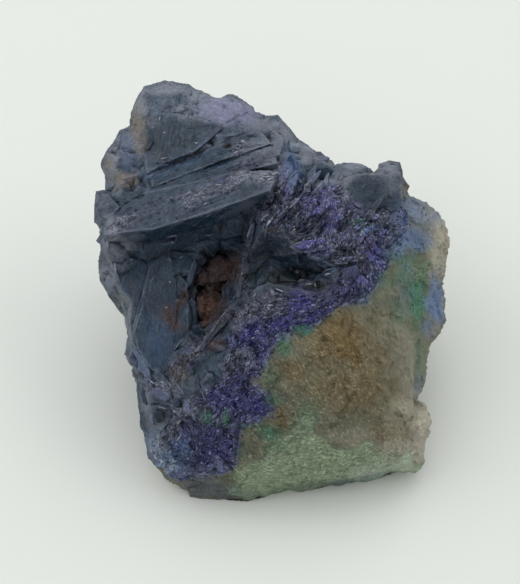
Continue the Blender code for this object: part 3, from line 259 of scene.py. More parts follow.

# Larger single blades and facets: (across, up, length, width, bearing, lean up, lean right, tone).
# Blades of the glint and edge tones are thin painted highlights.
BLADES = [
    (6.3, 11.3, 2.8, 1.7, 38, 20, -8, "lilac"), (8.0, 12.3, 3.0, 1.5, -16, 26, 2, "lilac"),
    (9.4, 11.2, 2.6, 1.3, 52, 14, 12, "violet"), (7.2, 10.7, 2.6, 1.1, 14, 10, -4, "violet"),
    (11.3, 12.3, 4.2, 1.1, -68, 14, 16, "dust_and_painted_light"),
    (7.4, 15.8, 4.6, 2.2, 8, -14, 0, "teal"), (8.0, 17.5, 2.4, 0.8, 8, 34, 0, "dust_and_painted_light"),
    (7.8, 14.3, 1.74, 0.19, 20, 36, 0, "glint"), (4.6, 16.2, 4.2, 1.1, -72, 6, -20, "blue"),
    (12.7, 9.0, 2.6, 1.4, 28, -8, -10, "green"), (11.7, 9.0, 1.8, 0.3, 62, 20, -24, "dust_and_painted_light"),
    (15.8, 9.8, 2.8, 1.0, 8, 30, 10, "lilac"), (14.3, 8.2, 2.4, 0.8, 34, 8, 8, "blue"),
    (15.9, 7.7, 2.0, 0.6, 30, 12, 14, "violet"), (9.5, 9.4, 2.8, 0.36, 55, 10, -18, "violet"),
    (10.2, 9.7, 1.49, 0.19, 57, 22, -14, "glint"), (8.8, 9.5, 2.4, 0.32, 52, 20, -10, "violet"),
    (9.0, 8.9, 2.0, 0.3, 52, 6, -14, "dust_and_painted_light"), (6.3, 8.8, 2.0, 0.36, 60, 18, -16, "dust_and_painted_light"),
    (5.7, 8.6, 1.7, 0.3, 58, 10, 20, "violet"), (9.8, 7.0, 2.8, 1.4, -18, 20, 4, "grey"),
    (6.8, 6.3, 4.2, 1.1, 12, 28, -6, "violet"), (5.0, 6.4, 1.24, 0.14, 32, 40, 0, "glint"),
    (11.3, 5.5, 2.4, 1.2, -14, -30, 0, "dark"), (11.2, 4.35, 3.4, 0.5, 8, 22, 4, "grey"),
    (12.0, 2.4, 2.6, 1.8, 20, 10, -6, "dim"), (13.4, 1.4, 1.8, 1.3, -40, 4, 12, "violet"),
    (9.1, 2.35, 1.18, 0.14, 14, 38, 0, "glint"), (9.4, 3.0, 1.8, 0.2, 20, 30, 0, "grey"),
    (15.2, 5.7, 2.2, 0.8, -58, 16, 14, "violet"), (14.4, 4.6, 1.8, 0.9, -50, 8, 4, "violet"),
    (16.3, 6.2, 1.8, 0.6, 60, 20, 16, "dust_and_painted_light"), (6.3, 0.95, 1.24, 0.1, 18, 36, 0, "glint"),
    (7.25, 0.8, 0.62, 0.1, 86, 10, 30, "glint"), (0.6, 9.9, 1.36, 0.21, 54, 16, -16, "glint"),
    (1.4, 9.4, 2.2, 0.36, 55, 12, -10, "dust_and_painted_light"), (2.4, 10.6, 2.2, 0.4, 52, 14, -12, "dust_and_painted_light"),
    (3.4, 9.6, 1.9, 0.36, 50, 8, -8, "violet"), (3.5, 12.2, 1.7, 1.0, 20, 24, -8, "grey"),
    (2.2, 13.5, 2.2, 0.9, -28, 10, 8, "dark"), (3.8, 13.2, 1.6, 0.6, -20, 26, 4, "violet"),
    (1.4, 14.9, 0.93, 0.19, 30, 32, 0, "glint"), (2.0, 15.6, 0.81, 0.19, 40, 30, 10, "glint"),
    (0.3, 14.8, 0.62, 0.15, -30, 30, 0, "glint"), (7.2, 4.6, 1.7, 0.8, -20, 24, 0, "grey"),
    (-19.1, 3.3, 1.49, 0.12, -78, 14, -20, "glint"), (-20.4, 7.0, 2.4, 0.14, -84, 10, -30, "dust_and_painted_light"),
    (-2.4, 2.3, 0.81, 0.12, 80, 20, 20, "glint"), (-1.4, 8.1, 2.2, 0.16, 65, 10, 26, "dust_and_painted_light"),
    (-15.8, -3.0, 5.4, 0.13, 78, 16, -26, "dust_and_painted_light"), (-14.2, 1.6, 1.6, 0.12, 70, 20, -20, "dust_and_painted_light"),
    (-8.6, 0.4, 2.6, 0.14, 62, 20, -20, "grey"), (-10.6, -6.8, 2.2, 0.16, 60, 24, -10, "dust_and_painted_light"),
    (-5.7, -4.3, 6.0, 0.13, 52, 20, -30, "edge"), (-5.3, -4.5, 5.2, 0.1, 51, 16, 20, "grey"),
    (-12.0, 7.35, 2.0, 0.12, 10, 38, 0, "dust_and_painted_light"), (-7.1, 7.5, 1.9, 0.12, 1, 40, 0, "dust_and_painted_light"),
    (-8.0, 6.2, 0.9, 0.6, 20, 24, 0, "grey"), (-6.3, 0.5, 1.2, 0.12, 30, 36, 0, "grey"),
    (-8.8, -2.8, 4.4, 1.1, -84, -6, -12, "teal"), (-8.9, 2.6, 3.8, 1.0, 74, 0, -16, "teal"),
    (-12.9, -13.5, 2.6, 1.5, -26, 16, -6, "grey"), (-12.6, -15.4, 1.86, 0.1, -22, 34, 0, "glint"),
    (-13.0, -16.7, 2.8, 1.5, -60, -16, -6, "dark"), (-14.3, -16.5, 2.2, 0.5, -72, 14, -24, "dust_and_painted_light"),
    (-9.5, -15.3, 2.2, 0.8, -72, 16, -12, "grey"), (-8.8, -16.2, 2.0, 0.3, -78, 10, 16, "grey"),
    (-15.2, -9.3, 4.8, 0.7, -64, 10, -18, "grey"), (-10.4, -13.0, 2.4, 0.24, -57, 20, 10, "dust_and_painted_light"),
    (-14.3, -11.9, 0.81, 0.16, -40, 30, -10, "glint"), (-12.9, -12.0, 0.56, 0.15, -30, 34, 0, "glint"),
    (-11.3, -15.8, 0.62, 0.14, -38, 34, 0, "glint"), (-15.2, -14.0, 2.0, 0.8, -70, -4, -20, "teal"),
    (-13.2, 22.9, 0.62, 0.1, 88, 20, -24, "glint"), (-9.7, 23.3, 0.62, 0.12, 60, 30, 10, "glint"),
    (-10.3, 23.8, 0.5, 0.12, 48, 30, -10, "glint"), (-9.2, 23.0, 0.48, 0.11, 70, 30, 10, "glint"),
    (-12.7, 17.6, 0.93, 0.1, 14, 36, 0, "glint"), (-13.0, 17.1, 1.8, 0.12, 10, 34, 0, "grey"),
    (-12.8, 16.7, 1.5, 0.12, 12, 34, 0, "dust_and_painted_light"), (-12.6, 21.0, 0.4, 0.15, 10, 30, 0, "glint"),
    (-8.4, 19.6, 0.4, 0.19, 10, 30, 0, "glint"), (-3.2, 18.4, 0.68, 0.19, 50, 30, 0, "glint"),
    (-2.2, 19.8, 0.74, 0.19, -30, 30, 0, "glint"), (-3.0, 19.3, 1.0, 0.3, 10, 30, 0, "dust_and_painted_light"),
    (-7.2, 11.6, 0.56, 0.15, 40, 30, 0, "glint"), (-5.4, 14.1, 0.56, 0.16, 20, 30, 0, "glint"),
    (-18.6, 9.7, 0.56, 0.15, 20, 30, 0, "glint"), (-11.6, 6.5, 0.29, 0.16, 0, 30, 0, "glint"),
    (-10.4, 4.55, 0.5, 0.12, 36, 34, 0, "glint"), (-11.9, 1.3, 0.24, 0.14, 0, 30, 0, "glint"),
    (-12.4, -2.1, 0.29, 0.16, 0, 30, 0, "glint"), (-17.0, 4.2, 0.4, 0.11, 0, 34, 0, "glint"),
    (2.5, 0.2, 1.24, 0.14, -28, 36, 0, "glint"), (1.4, -1.8, 0.74, 0.15, -6, 34, 0, "glint"),
    (-0.6, -0.4, 1.0, 0.3, 60, 24, -20, "dust_and_painted_light"), (-8.4, -9.0, 1.6, 0.3, 36, 26, 0, "grey"),
    (-6.4, -23.9, 4.6, 0.16, 9, 34, 0, "dust_and_painted_light"), (-9.4, -8.2, 1.8, 1.2, 40, 16, -8, "grey"),
    (5.0, 15.0, 2.0, 0.3, -60, 24, 20, "dust_and_painted_light"), (-3.2, 14.9, 0.9, 0.7, 0, 20, 0, "dust_and_painted_light"),
]

# Tone of a single blade: (violet, pale blue, dust and painted light, malachite, dark).
# The glint and edge tones are painted highlights.
TONES = {
    "lilac": (0.75, 0.1, 0.42, 0.0, 0.0), "dust_and_painted_light": (0.1, 0.1, 0.55, 0.0, 0.0),
    "teal": (0.0, 0.08, 0.0, 0.0, 0.2), "glint": (0.0, 0.3, 1.25, 0.0, 0.0),
    "blue": (0.3, 0.7, 0.1, 0.0, 0.0), "green": (0.0, 0.1, 0.0, 0.34, 0.3),
    "dim": (0.4, 0.0, 0.05, 0.0, 0.35), "edge": (0.0, 0.2, 0.95, 0.0, 0.0),
    "violet": (0.9, 0.0, 0.3, 0.0, 0.0), "grey": (0.15, 0.1, 0.34, 0.0, 0.0),
    "dark": (0.1, 0.0, 0.0, 0.0, 0.9),
}


class SpecimenSettings(PropertyGroup):
    """Fineness, numbers of small crystals, and lights"""

    front_edge: FloatProperty(
        name="Front edge", description="Longest mesh edge on the sides that face the viewer",
        default=0.385 * MM, min=0.1 * MM, unit="LENGTH", subtype="DISTANCE")
    back_edge: FloatProperty(
        name="Back edge", description="Longest mesh edge on the back and the underside", default=1.2 * MM,
        min=0.1 * MM, unit="LENGTH", subtype="DISTANCE")
    hidden_edge: FloatProperty(
        name="Hidden edge", description="Longest mesh edge on faces grown against another piece",
        default=2.4 * MM, min=0.2 * MM, unit="LENGTH", subtype="DISTANCE")
    grains: IntProperty(
        name="Grains", description="Number of small azurite grains", default=5200, min=100, max=24000)
    edge_grains: IntProperty(
        name="Edge grains", description="Number of azurite grains along the contact with the host rock",
        default=600, min=10, max=3000)
    splinters: IntProperty(
        name="Splinters", description="Number of fine azurite blades", default=900, min=10, max=9000)
    crumbs: IntProperty(
        name="Crumbs", description="Number of small limonite crumbs", default=700, min=10, max=6000)
    seed: IntProperty(name="Seed", description="Start of the random choices", default=11)
    key_power: FloatProperty(
        name="Key light", description="Power of the softbox above and behind",
        default=0.92, min=0.0, unit="POWER")
    fill_power: FloatProperty(
        name="Fill light", description="Power of the softbox in front",
        default=0.62, min=0.0, unit="POWER")
    side_power: FloatProperty(
        name="Side light", description="Power of the softbox on the left; the one on the right has less",
        default=1.15, min=0.0, unit="POWER")
    sky: FloatProperty(name="Sky", description="Brightness of the white surroundings", default=0.83, min=0.0)


class SpecimenColours(PropertyGroup):
    """Main colours of the minerals, the stains and the floor"""

    azurite_blue: FloatVectorProperty(
        name="Azurite blue", description="Blades of the azurite in a middling light",
        default=(0.023, 0.049, 0.080), min=0.0, max=1.0, subtype="COLOR")
    azurite_grain: FloatVectorProperty(
        name="Azurite grain", description="Granular fields of the azurite",
        default=(0.038, 0.042, 0.088), min=0.0, max=1.0, subtype="COLOR")
    violet: FloatVectorProperty(
        name="Violet", description="Most vivid grains of the azurite",
        default=(0.028, 0.031, 0.20), min=0.0, max=1.0, subtype="COLOR")
    # The pale blue also paints light onto shaded places of the azurite.
    pale_blue: FloatVectorProperty(
        name="Pale blue", description="Thin, pale crystals of the azurite",
        default=(0.075, 0.14, 0.30), min=0.0, max=1.0, subtype="COLOR")
    # The dust film's colour also paints light onto shaded places of the azurite.
    dust_and_painted_light: FloatVectorProperty(
        name="Dust", description="Scuffed and dusty azurite",
        default=(0.215, 0.240, 0.295), min=0.0, max=1.0, subtype="COLOR")
    rust: FloatVectorProperty(
        name="Rust", description="Rust stains",
        default=(0.065, 0.028, 0.018), min=0.0, max=1.0, subtype="COLOR")
    ochre: FloatVectorProperty(
        name="Ochre", description="Earthy ochre stains",
        default=(0.21, 0.18, 0.145), min=0.0, max=1.0, subtype="COLOR")
    malachite: FloatVectorProperty(
        name="Malachite", description="Bright green malachite stains",
        default=(0.060, 0.225, 0.140), min=0.0, max=1.0, subtype="COLOR")
    moss: FloatVectorProperty(
        name="Moss green", description="Green skin low on the host rock",
        default=(0.40, 0.505, 0.343), min=0.0, max=1.0, subtype="COLOR")
    blue_stain: FloatVectorProperty(
        name="Blue stain", description="Blue stains on the host rock",
        default=(0.15, 0.24, 0.44), min=0.0, max=1.0, subtype="COLOR")
    rock_grey: FloatVectorProperty(
        name="Rock grey", description="Plain host rock",
        default=(0.243, 0.239, 0.170), min=0.0, max=1.0, subtype="COLOR")
    rock_brown: FloatVectorProperty(
        name="Rock brown", description="Iron-stained host rock",
        default=(0.245, 0.162, 0.058), min=0.0, max=1.0, subtype="COLOR")
    limonite: FloatVectorProperty(
        name="Limonite", description="Rusty side of the limonite lumps",
        default=(0.145, 0.066, 0.036), min=0.0, max=1.0, subtype="COLOR")
    floor: FloatVectorProperty(
        name="Floor", description="Lighter tone of the floor",
        default=(0.708, 0.735, 0.706), min=0.0, max=1.0, subtype="COLOR")


# ---- Numbers on a lattice: noise and crystal facets ----
def lattice(cells, salt):
    """A fixed random number from 0 to 1 for each lattice cell."""
    x, y, z = (cells[..., i].astype(np.int64) for i in range(3))
    n = ((x * 73856093) ^ (y * 19349663) ^ (z * 83492791) ^ (salt * 0x9E3779B1)) & 0xFFFFFFFF
    for shift in (16, 13):
        n = ((n ^ (n >> shift)) * 0x45D9F3B) & 0xFFFFFFFF
    return (n ^ (n >> 16)) / 4294967296.0


def noise(points, size, salt=0):
    """Smooth random field from -1 to 1 with features about this size."""
    p = points / size
    base = np.floor(p)
    t = p - base
    t = t * t * (3 - 2 * t)
    total = np.zeros(len(p))
    for corner in np.ndindex(2, 2, 2):
        weight = np.prod(np.where(corner, t, 1 - t), axis=1)
        total += weight * lattice(base + corner, salt)
    return total * 2 - 1


def fractal(points, size, octaves, salt=0):
    """Noise with finer and weaker noise added to it, each half the size of the one before."""
    total, strength = np.zeros(len(points)), 1.0
    for octave in range(octaves):
        total += strength * noise(points, size / 2**octave, salt + 31 * octave)
        strength *= 0.5
    return total / 1.6


def facets(points, size, salt=0):
    """Height of a surface that breaks into flat, randomly tilted facets about this size across."""
    p = points / size
    base = np.floor(p - 0.5)
    distances, heights = [], []
    for corner in np.ndindex(2, 2, 2):
        cell = base + corner
        seed = cell + 0.15 + 0.7 * np.stack([lattice(cell, salt + k) for k in range(3)], 1)
        lean = np.stack([lattice(cell, salt + 3 + k) for k in range(3)], 1) - 0.5
        distances.append(((p - seed) ** 2).sum(1))
        heights.append(((p - seed) * lean).sum(1))
    nearest = np.argsort(np.array(distances), axis=0)[:3]
    return np.take_along_axis(np.array(heights), nearest, 0).max(0) * size


# ---- Places on the face drawing ----
def on_face(points):
    """(across as seen, up as seen, out) in millimetres for points in millimetres."""
    rel = points - FACE_CENTRE
    out = rel @ OUT
    near = EYE_DISTANCE / (EYE_DISTANCE - out)
    return np.stack([(rel @ ACROSS) * near, (rel @ UP) * near, out], 1)


def ramped(value, low, high):
    """0 below low, 1 above high and smooth in between; falling where low is above high."""
    t = np.clip((value - low) / (high - low), 0.0, 1.0)
    return t * t * (3 - 2 * t)


def spots(seen, listed, ragged=0.45, soft=0.6, salt=5):
    """Strength from 0 to 1 of a set of soft-edged, ragged spots."""
    wobble = ragged * fractal(seen, 1.6, 4, salt)
    total = np.zeros(len(seen))
    for across, up, long, wide, turn, strength in listed:
        c, s = math.cos(math.radians(turn)), math.sin(math.radians(turn))
        x, y = seen[:, 0] - across, seen[:, 1] - up
        away = np.hypot((x * c + y * s) / long, (y * c - x * s) / wide) + wobble
        total = np.maximum(total, strength * ramped(-away, -1 - soft, -1 + soft))
    return total


def distance_to(seen, line):
    """Distance on the drawing from each place to a line of straight pieces."""
    best = np.full(len(seen), 1e9)
    place = seen[:, :2]
    for a, b in zip(np.array(line, float), np.array(line[1:], float)):
        t = np.clip(((place - a) @ (b - a)) / ((b - a) @ (b - a)), 0, 1)
        best = np.minimum(best, np.linalg.norm(place - a - t[:, None] * (b - a), axis=1))
    return best


def zone(seen, outline, feather=0.6, ragged=0.5, salt=9):
    """1 inside a closed outline, 0 outside it, with a ragged feathered border."""
    x, y = seen[:, 0], seen[:, 1]
    crossings = np.zeros(len(seen), int)
    ring = outline + outline[:1]
    for (ax, ay), (bx, by) in zip(ring, ring[1:]):
        if ay != by:
            crossings += ((ay > y) != (by > y)) & (x < (bx - ax) * (y - ay) / (by - ay) + ax)
    away = distance_to(seen, ring) * np.where(crossings % 2, 1, -1) + ragged * fractal(seen, 2.0, 3, salt)
    return ramped(away, -feather, feather)


def facing(normals):
    """1 on the face that the drawing shows, fading to 0 on the sides and back."""
    return ramped(normals @ OUT, -0.25, 0.1)


# ---- Meshes ----
def points_of(mesh):
    co = np.empty(len(mesh.vertices) * 3)
    mesh.vertices.foreach_get("co", co)
    return co.reshape(-1, 3) / MM


def triangles_of(mesh):
    mesh.calc_loop_triangles()
    corners = np.empty(len(mesh.loop_triangles) * 3, np.int32)
    mesh.loop_triangles.foreach_get("vertices", corners)
    return corners.reshape(-1, 3).astype(np.int64)


def normals_of(mesh):
    found = np.empty(len(mesh.vertices) * 3, np.float32)
    mesh.vertex_normals.foreach_get("vector", found)
    return found.reshape(-1, 3).astype(float)


def put_points(mesh, points):
    mesh.vertices.foreach_set("co", (points * MM).ravel())
    mesh.update()


def put_values(mesh, name, columns):
    """Stores four numbers for each point, as a colour attribute that the materials read."""
    made = mesh.color_attributes.new(name, "FLOAT_COLOR", "POINT")
    made.data.foreach_set("color", np.stack(columns, 1).astype(np.float32).ravel())


def put_vectors(mesh, name, vectors):
    made = mesh.attributes.new(name, "FLOAT_VECTOR", "POINT")
    made.data.foreach_set("vector", vectors.astype(np.float32).ravel())


def tree_of(obj):
    """Search tree of an object's faces."""
    faces = [tuple(face.vertices) for face in obj.data.polygons]
    return BVHTree.FromPolygons([vertex.co.copy() for vertex in obj.data.vertices], faces)


def split_once(points, corners, marks, limits):
    """Cuts each triangle across those of its edges that are longer than their limit."""
    edges = np.sort(np.stack([corners, np.roll(corners, -1, 1)], 2).reshape(-1, 2), axis=1)
    edges, which = np.unique(edges, axis=0, return_inverse=True)
    which = which.reshape(-1, 3)
    allowed = np.full(len(edges), np.inf)
    np.minimum.at(allowed, which.ravel(), np.repeat(limits, 3))
    long = np.linalg.norm(points[edges[:, 0]] - points[edges[:, 1]], axis=1) > allowed
    middles = np.full(len(edges), -1)
    middles[long] = len(points) + np.arange(long.sum())
    points = np.concatenate([points, points[edges[long]].mean(1)])
    cut = long[which]
    count = cut.sum(1)
    first = np.where(count == 1, cut.argmax(1), np.where(count == 2, (np.argmin(cut, 1) + 1) % 3, 0))
    order = (first[:, None] + np.arange(3)) % 3
    a, b, c = np.take_along_axis(corners, order, 1).T
    p, q, r = np.take_along_axis(middles[which], order, 1).T
    parts = {0: [(a, b, c)], 1: [(a, p, c), (p, b, c)], 2: [(p, b, q), (a, p, q), (a, q, c)],
             3: [(a, p, r), (p, b, q), (r, q, c), (p, q, r)]}
    new, kept = [], []
    for number, pieces in parts.items():
        for piece in pieces:
            new.append(np.stack(piece, 1)[count == number])
            kept.append(marks[count == number])
    return points, np.concatenate(new), np.concatenate(kept), int(long.sum())


def refined(node, name, settings, covers):
    """A copy of a node's solid, split finely in front and coarsely where another node covers it."""
    trees = [tree_of(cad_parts[other]) for other in covers]
    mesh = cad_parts[node].data
    points, corners = points_of(mesh), triangles_of(mesh)
    _, first, same = np.unique(np.round(points, 5), axis=0, return_index=True, return_inverse=True)
    points, corners = points[first], same.ravel()[corners]
    kinds = np.zeros(len(corners), int)
    a, b, c = (points[corners[:, i]] for i in range(3))
    kinds[unit(np.cross(b - a, c - a)) @ OUT < -0.2] = 1
    for i, corner in enumerate(corners):
        tests = [Vector(p) * MM for p in (points[corner].mean(0), *points[corner])]
        if any(all(t.find_nearest(p, TOUCHING * MM)[0] is not None for p in tests) for t in trees):
            kinds[i] = 2
    sizes = np.array((settings.front_edge, settings.back_edge, settings.hidden_edge)) / MM
    changed = 1
    while changed:
        points, corners, kinds, changed = split_once(points, corners, kinds, sizes[kinds])
    return new_piece(name, points, corners)


def new_piece(name, points, corners):
    """A mesh object of faces with the same number of corners each."""
    mesh = bpy.data.meshes.new(name)
    mesh.vertices.add(len(points))
    mesh.vertices.foreach_set("co", (points * MM).ravel())
    mesh.loops.add(corners.size)
    mesh.loops.foreach_set("vertex_index", corners.ravel().astype(np.int32))
    mesh.polygons.add(len(corners))
    mesh.polygons.foreach_set("loop_start", (np.arange(len(corners)) * corners.shape[1]).astype(np.int32))
    mesh.update(calc_edges=True)
    mesh.validate()
    piece = bpy.data.objects.new(name, mesh)
    bpy.context.scene.collection.objects.link(piece)
    return piece


def near_to(points, other, reach):
    """Whether each point lies within reach of another node."""
    tree = tree_of(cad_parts[other])
    return np.array([tree.find_nearest(Vector(p) * MM, reach * MM)[0] is not None for p in points])


def kept_in(points):
    """Holds points inside the box of all the solids."""
    low = np.min([np.array(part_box(n)[0]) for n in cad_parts], axis=0) / MM
    high = np.max([np.array(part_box(n)[1]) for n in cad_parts], axis=0) / MM
    return np.clip(points, low, high)


def bulge_of(mesh):
    """How far each point stands out of its surroundings, from -1 in a crease to 1 on an edge; it drives
    painted edge highlights and crease shade.
    """
    full_height = 0.03
    points, normals = points_of(mesh), normals_of(mesh)
    ends = np.empty(len(mesh.edges) * 2, np.int32)
    mesh.edges.foreach_get("vertices", ends)
    a, b = ends.reshape(-1, 2).T
    here, there = np.concatenate([a, b]), np.concatenate([b, a])
    count = np.bincount(here, minlength=len(points))[:, None]

    def averaged(values):
        sums = [np.bincount(here, column[there], len(points)) for column in values.T]
        return np.stack(sums, 1) / count

    stands = ((points - averaged(points)) * normals).sum(1, keepdims=True)
    for _ in range(2):
        stands = 0.5 * stands + 0.5 * averaged(stands)
    return np.clip(stands[:, 0] / full_height, -1, 1)


def finish_piece(piece, nodes, material, crease=None):
    """Gives a piece its material and its place in the frame. Edges above the crease angle stay sharp."""
    piece.data.materials.clear()
    piece.data.materials.append(material)
    if crease is None:
        piece.data.shade_flat()
    else:
        piece.data.shade_smooth()
        piece.data.set_sharp_from_angle(angle=math.radians(crease))
    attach(piece, "root")
    if nodes:
        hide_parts(*nodes)
    if not piece.data.polygons:
        raise ValueError(f"{piece.name} has no faces")


# ---- Minerals on the surface ----
def unit(vectors):
    return vectors / np.maximum(np.linalg.norm(vectors, axis=1, keepdims=True), 1e-9)


def bearings(seen):
    """Direction in which the crystals run at each place of the face, in degrees from across towards up."""
    bearing = 50.0 + 40.0 * noise(seen, 5.0, 2)
    for outline, way in ((SPLINTERY, 54.0), (LEDGE, 21.0), (CAP, 84.0), (LEFT_SLAB, 80.0)):
        bearing = np.where(zone(seen, outline, 0.01, 0.3) > 0.5, way, bearing)
    return bearing + 6.0 * noise(seen, 4.0, 3)


def lay_of(points, normals):
    """(along, across, through) the crystals, in millimetres. The sides and back fall into random fields."""
    fields, reach = 40, 26
    seen = on_face(points)
    angle = np.radians(bearings(seen))[:, None]
    front = normals @ OUT > -0.1
    rng = np.random.default_rng(3)
    centres = rng.uniform(-reach, reach, (fields, 3))
    swayed = points + 1.2 * fractal(points, 3.0, 2, 4)[:, None]
    field = ((swayed[:, None, :] - centres) ** 2).sum(2).argmin(1)
    ways = unit(rng.normal(0, 1, (fields, 3)))[field]
    ways = unit(ways - 0.8 * normals * (ways * normals).sum(1, keepdims=True))
    along = np.where(front[:, None], np.cos(angle) * ACROSS + np.sin(angle) * UP, ways)
    side = unit(np.cross(along, np.where(front[:, None], OUT, unit(normals + 0.01))))
    return np.stack([(points * way).sum(1) for way in (along, side, np.cross(along, side))], 1)


def azurite_masks(points, normals):
    """(places on the drawing, strength of each look) for points of the azurite."""
    seen = on_face(points)
    shown = facing(normals)
    hidden = 1 - shown
    loose = fractal(points, 6.0, 4, 77)

    def elsewhere(size, octaves, salt, start, full):
        return ramped(fractal(points, size, octaves, salt), start, full) * hidden

    grain = np.maximum(zone(seen, GRANULAR), spots(seen, GRAINY))
    splinter = np.maximum(zone(seen, SPLINTERY, 0.5), spots(seen, SPLINTERED))
    violet = np.maximum(spots(seen, VIOLET), 0.5 * np.exp(-(distance_to(seen, CONTACT) / 1.6) ** 2))
    masks = {
        "grain": grain * shown + 0.7 * ramped(loose, -0.1, 0.4) * hidden,
        "splinter": splinter * shown + 0.5 * ramped(-loose, 0.0, 0.3) * hidden,
        "ledge": np.maximum(zone(seen, LEDGE, 0.4), zone(seen, CAP, 0.4)) * shown,
        "slab": np.maximum(zone(seen, LEFT_SLAB, 0.5), 0.6 * zone(seen, CAP, 0.4)) * shown,
        "violet": violet * shown + 0.3 * ramped(loose, 0.1, 0.6) * hidden,
        # Pale blue crystals, and painted light on shaded places.
        "pale": spots(seen, PALE_BLUE_AND_PAINTED_LIGHT) * shown + 0.3 * elsewhere(4.0, 3, 15, 0.1, 0.6),
        # Dust, and painted light on shaded places.
        "dust_and_painted_light": spots(seen, DUST_AND_PAINTED_LIGHT, 0.6, 0.8) * shown + 0.3 * elsewhere(3.0, 3, 13, 0.1, 0.7),
        "rust": spots(seen, RUST, 0.6, 0.8) * shown + 0.45 * elsewhere(5.0, 4, 41, 0.25, 0.6),
        "ochre": spots(seen, OCHRE, 0.6, 0.8) * shown + 0.4 * elsewhere(4.0, 4, 43, 0.3, 0.7),
        "green": spots(seen, MALACHITE, 0.6, 0.7) * shown + 0.4 * elsewhere(4.0, 4, 59, 0.35, 0.6),
        # Painted shade in the azurite's hollows.
        "dark": spots(seen, PAINTED_SHADE, 0.3, 0.8) * shown,
    }
    return seen, masks


def store_azurite(mesh, points, normals, masks, edge_light_and_crease_shade):
    """Keeps the looks on the mesh, where the azurite's material reads them."""
    put_values(mesh, "habit", [masks["grain"], masks["violet"], masks["pale"], masks["dust_and_painted_light"]])
    put_values(mesh, "coat", [masks["rust"], masks["green"], masks["ochre"], masks["dark"]])
    put_vectors(mesh, "lay", lay_of(points, normals) * (0.12, 1.0, 1.0))
    # The bulge is kept for painted edge highlights and painted crease shade.
    put_vectors(mesh, "state", np.stack([edge_light_and_crease_shade, masks["splinter"], masks["slab"]], 1))


# ---- Materials ----
def chosen(name):
    """A colour as the panel gives it."""
    return tuple(getattr(bpy.context.scene.specimen_colours, name))


class Graph:
    """Adds shader nodes to a material, with each input given as a value or as another node's output."""

    def __init__(self, name):
        self.material = bpy.data.materials.new(name)
        self.material.use_nodes = True
        self.tree = self.material.node_tree
        self.surface = self.tree.nodes["Principled BSDF"]

    def put(self, socket, value):
        if isinstance(value, bpy.types.NodeSocket):
            self.tree.links.new(value, socket)
        elif isinstance(value, tuple) and len(value) == 3 and socket.type == "RGBA":
            socket.default_value = (*value, 1.0)
        else:
            socket.default_value = value

    def node(self, kind, output=0, props=None, **inputs):
        made = self.tree.nodes.new(kind)
        for key, value in (props or {}).items():
            setattr(made, key, value)
        for key, value in inputs.items():
            self.put(made.inputs[int(key[1:]) if key[0] == "i" and key[1:].isdigit() else key], value)
        return made.outputs[output]

    def attribute(self, name, output="Color"):
        return self.node("ShaderNodeAttribute", output, {"attribute_name": name})

    def math(self, operation, a, b=0.0, clamp=False):
        return self.node("ShaderNodeMath", 0, {"operation": operation, "use_clamp": clamp}, i0=a, i1=b)

    def times(self, a, b):
        return self.math("MULTIPLY", a, b)

    def plus(self, a, b):
        return self.math("ADD", a, b)

    def vector(self, operation, a, b=(0.0, 0.0, 0.0)):
        return self.node("ShaderNodeVectorMath", 0, {"operation": operation}, i0=a, i1=b)

    def scaled(self, a, scale):
        return self.node("ShaderNodeVectorMath", 0, {"operation": "SCALE"}, i0=a, Scale=scale)

    def split(self, colour):
        made = self.tree.nodes.new("ShaderNodeSeparateColor")
        self.put(made.inputs[0], colour)
        return made.outputs[0], made.outputs[1], made.outputs[2]

    def noise(self, vector, scale, detail=3.0, roughness=0.55):
        return self.node("ShaderNodeTexNoise", "Fac", None, Vector=vector, Scale=scale, Detail=detail,
                         Roughness=roughness)

    def cells(self, vector, scale):
        return self.node("ShaderNodeTexVoronoi", "Color", {"feature": "F1"}, Vector=vector, Scale=scale)

    def mix(self, a, b, share, blend="MIX"):
        made = self.tree.nodes.new("ShaderNodeMix")
        made.data_type = "RGBA"
        made.blend_type = blend
        made.clamp_factor = True
        self.put(made.inputs[0], share)
        self.put(made.inputs[6], a)
        self.put(made.inputs[7], b)
        return made.outputs[2]

    def tinted(self, colour, tint, share):
        return self.mix(colour, self.mix(colour, tint, 1.0, "MULTIPLY"), share)

    def mapped(self, value, low, high, to_low=0.0, to_high=1.0):
        return self.node("ShaderNodeMapRange", 0, {"interpolation_type": "SMOOTHSTEP"},
                         i0=value, i1=low, i2=high, i3=to_low, i4=to_high)

    def ramp(self, value, stops):
        made = self.tree.nodes.new("ShaderNodeValToRGB")
        self.put(made.inputs[0], value)
        ends = made.color_ramp.elements
        while len(ends) < len(stops):
            ends.new(0.5)
        for end, (place, colour) in zip(ends, stops):
            end.position = place
            end.color = (*colour, 1.0)
        return made.outputs[0]

    def bump(self, height, strength, distance, normal=None):
        inputs = {"Height": height, "Strength": strength, "Distance": distance}
        if normal is not None:
            inputs["Normal"] = normal
        return self.node("ShaderNodeBump", 0, None, **inputs)

    def finish(self, colour, roughness, normal, ior):
        self.put(self.surface.inputs["Base Color"], colour)
        self.put(self.surface.inputs["Roughness"], roughness)
        self.put(self.surface.inputs["Normal"], normal)
        self.surface.inputs["IOR"].default_value = ior
        return self.material

    def millimetres(self):
        return self.scaled(self.node("ShaderNodeTexCoord", "Object"), 1000.0)


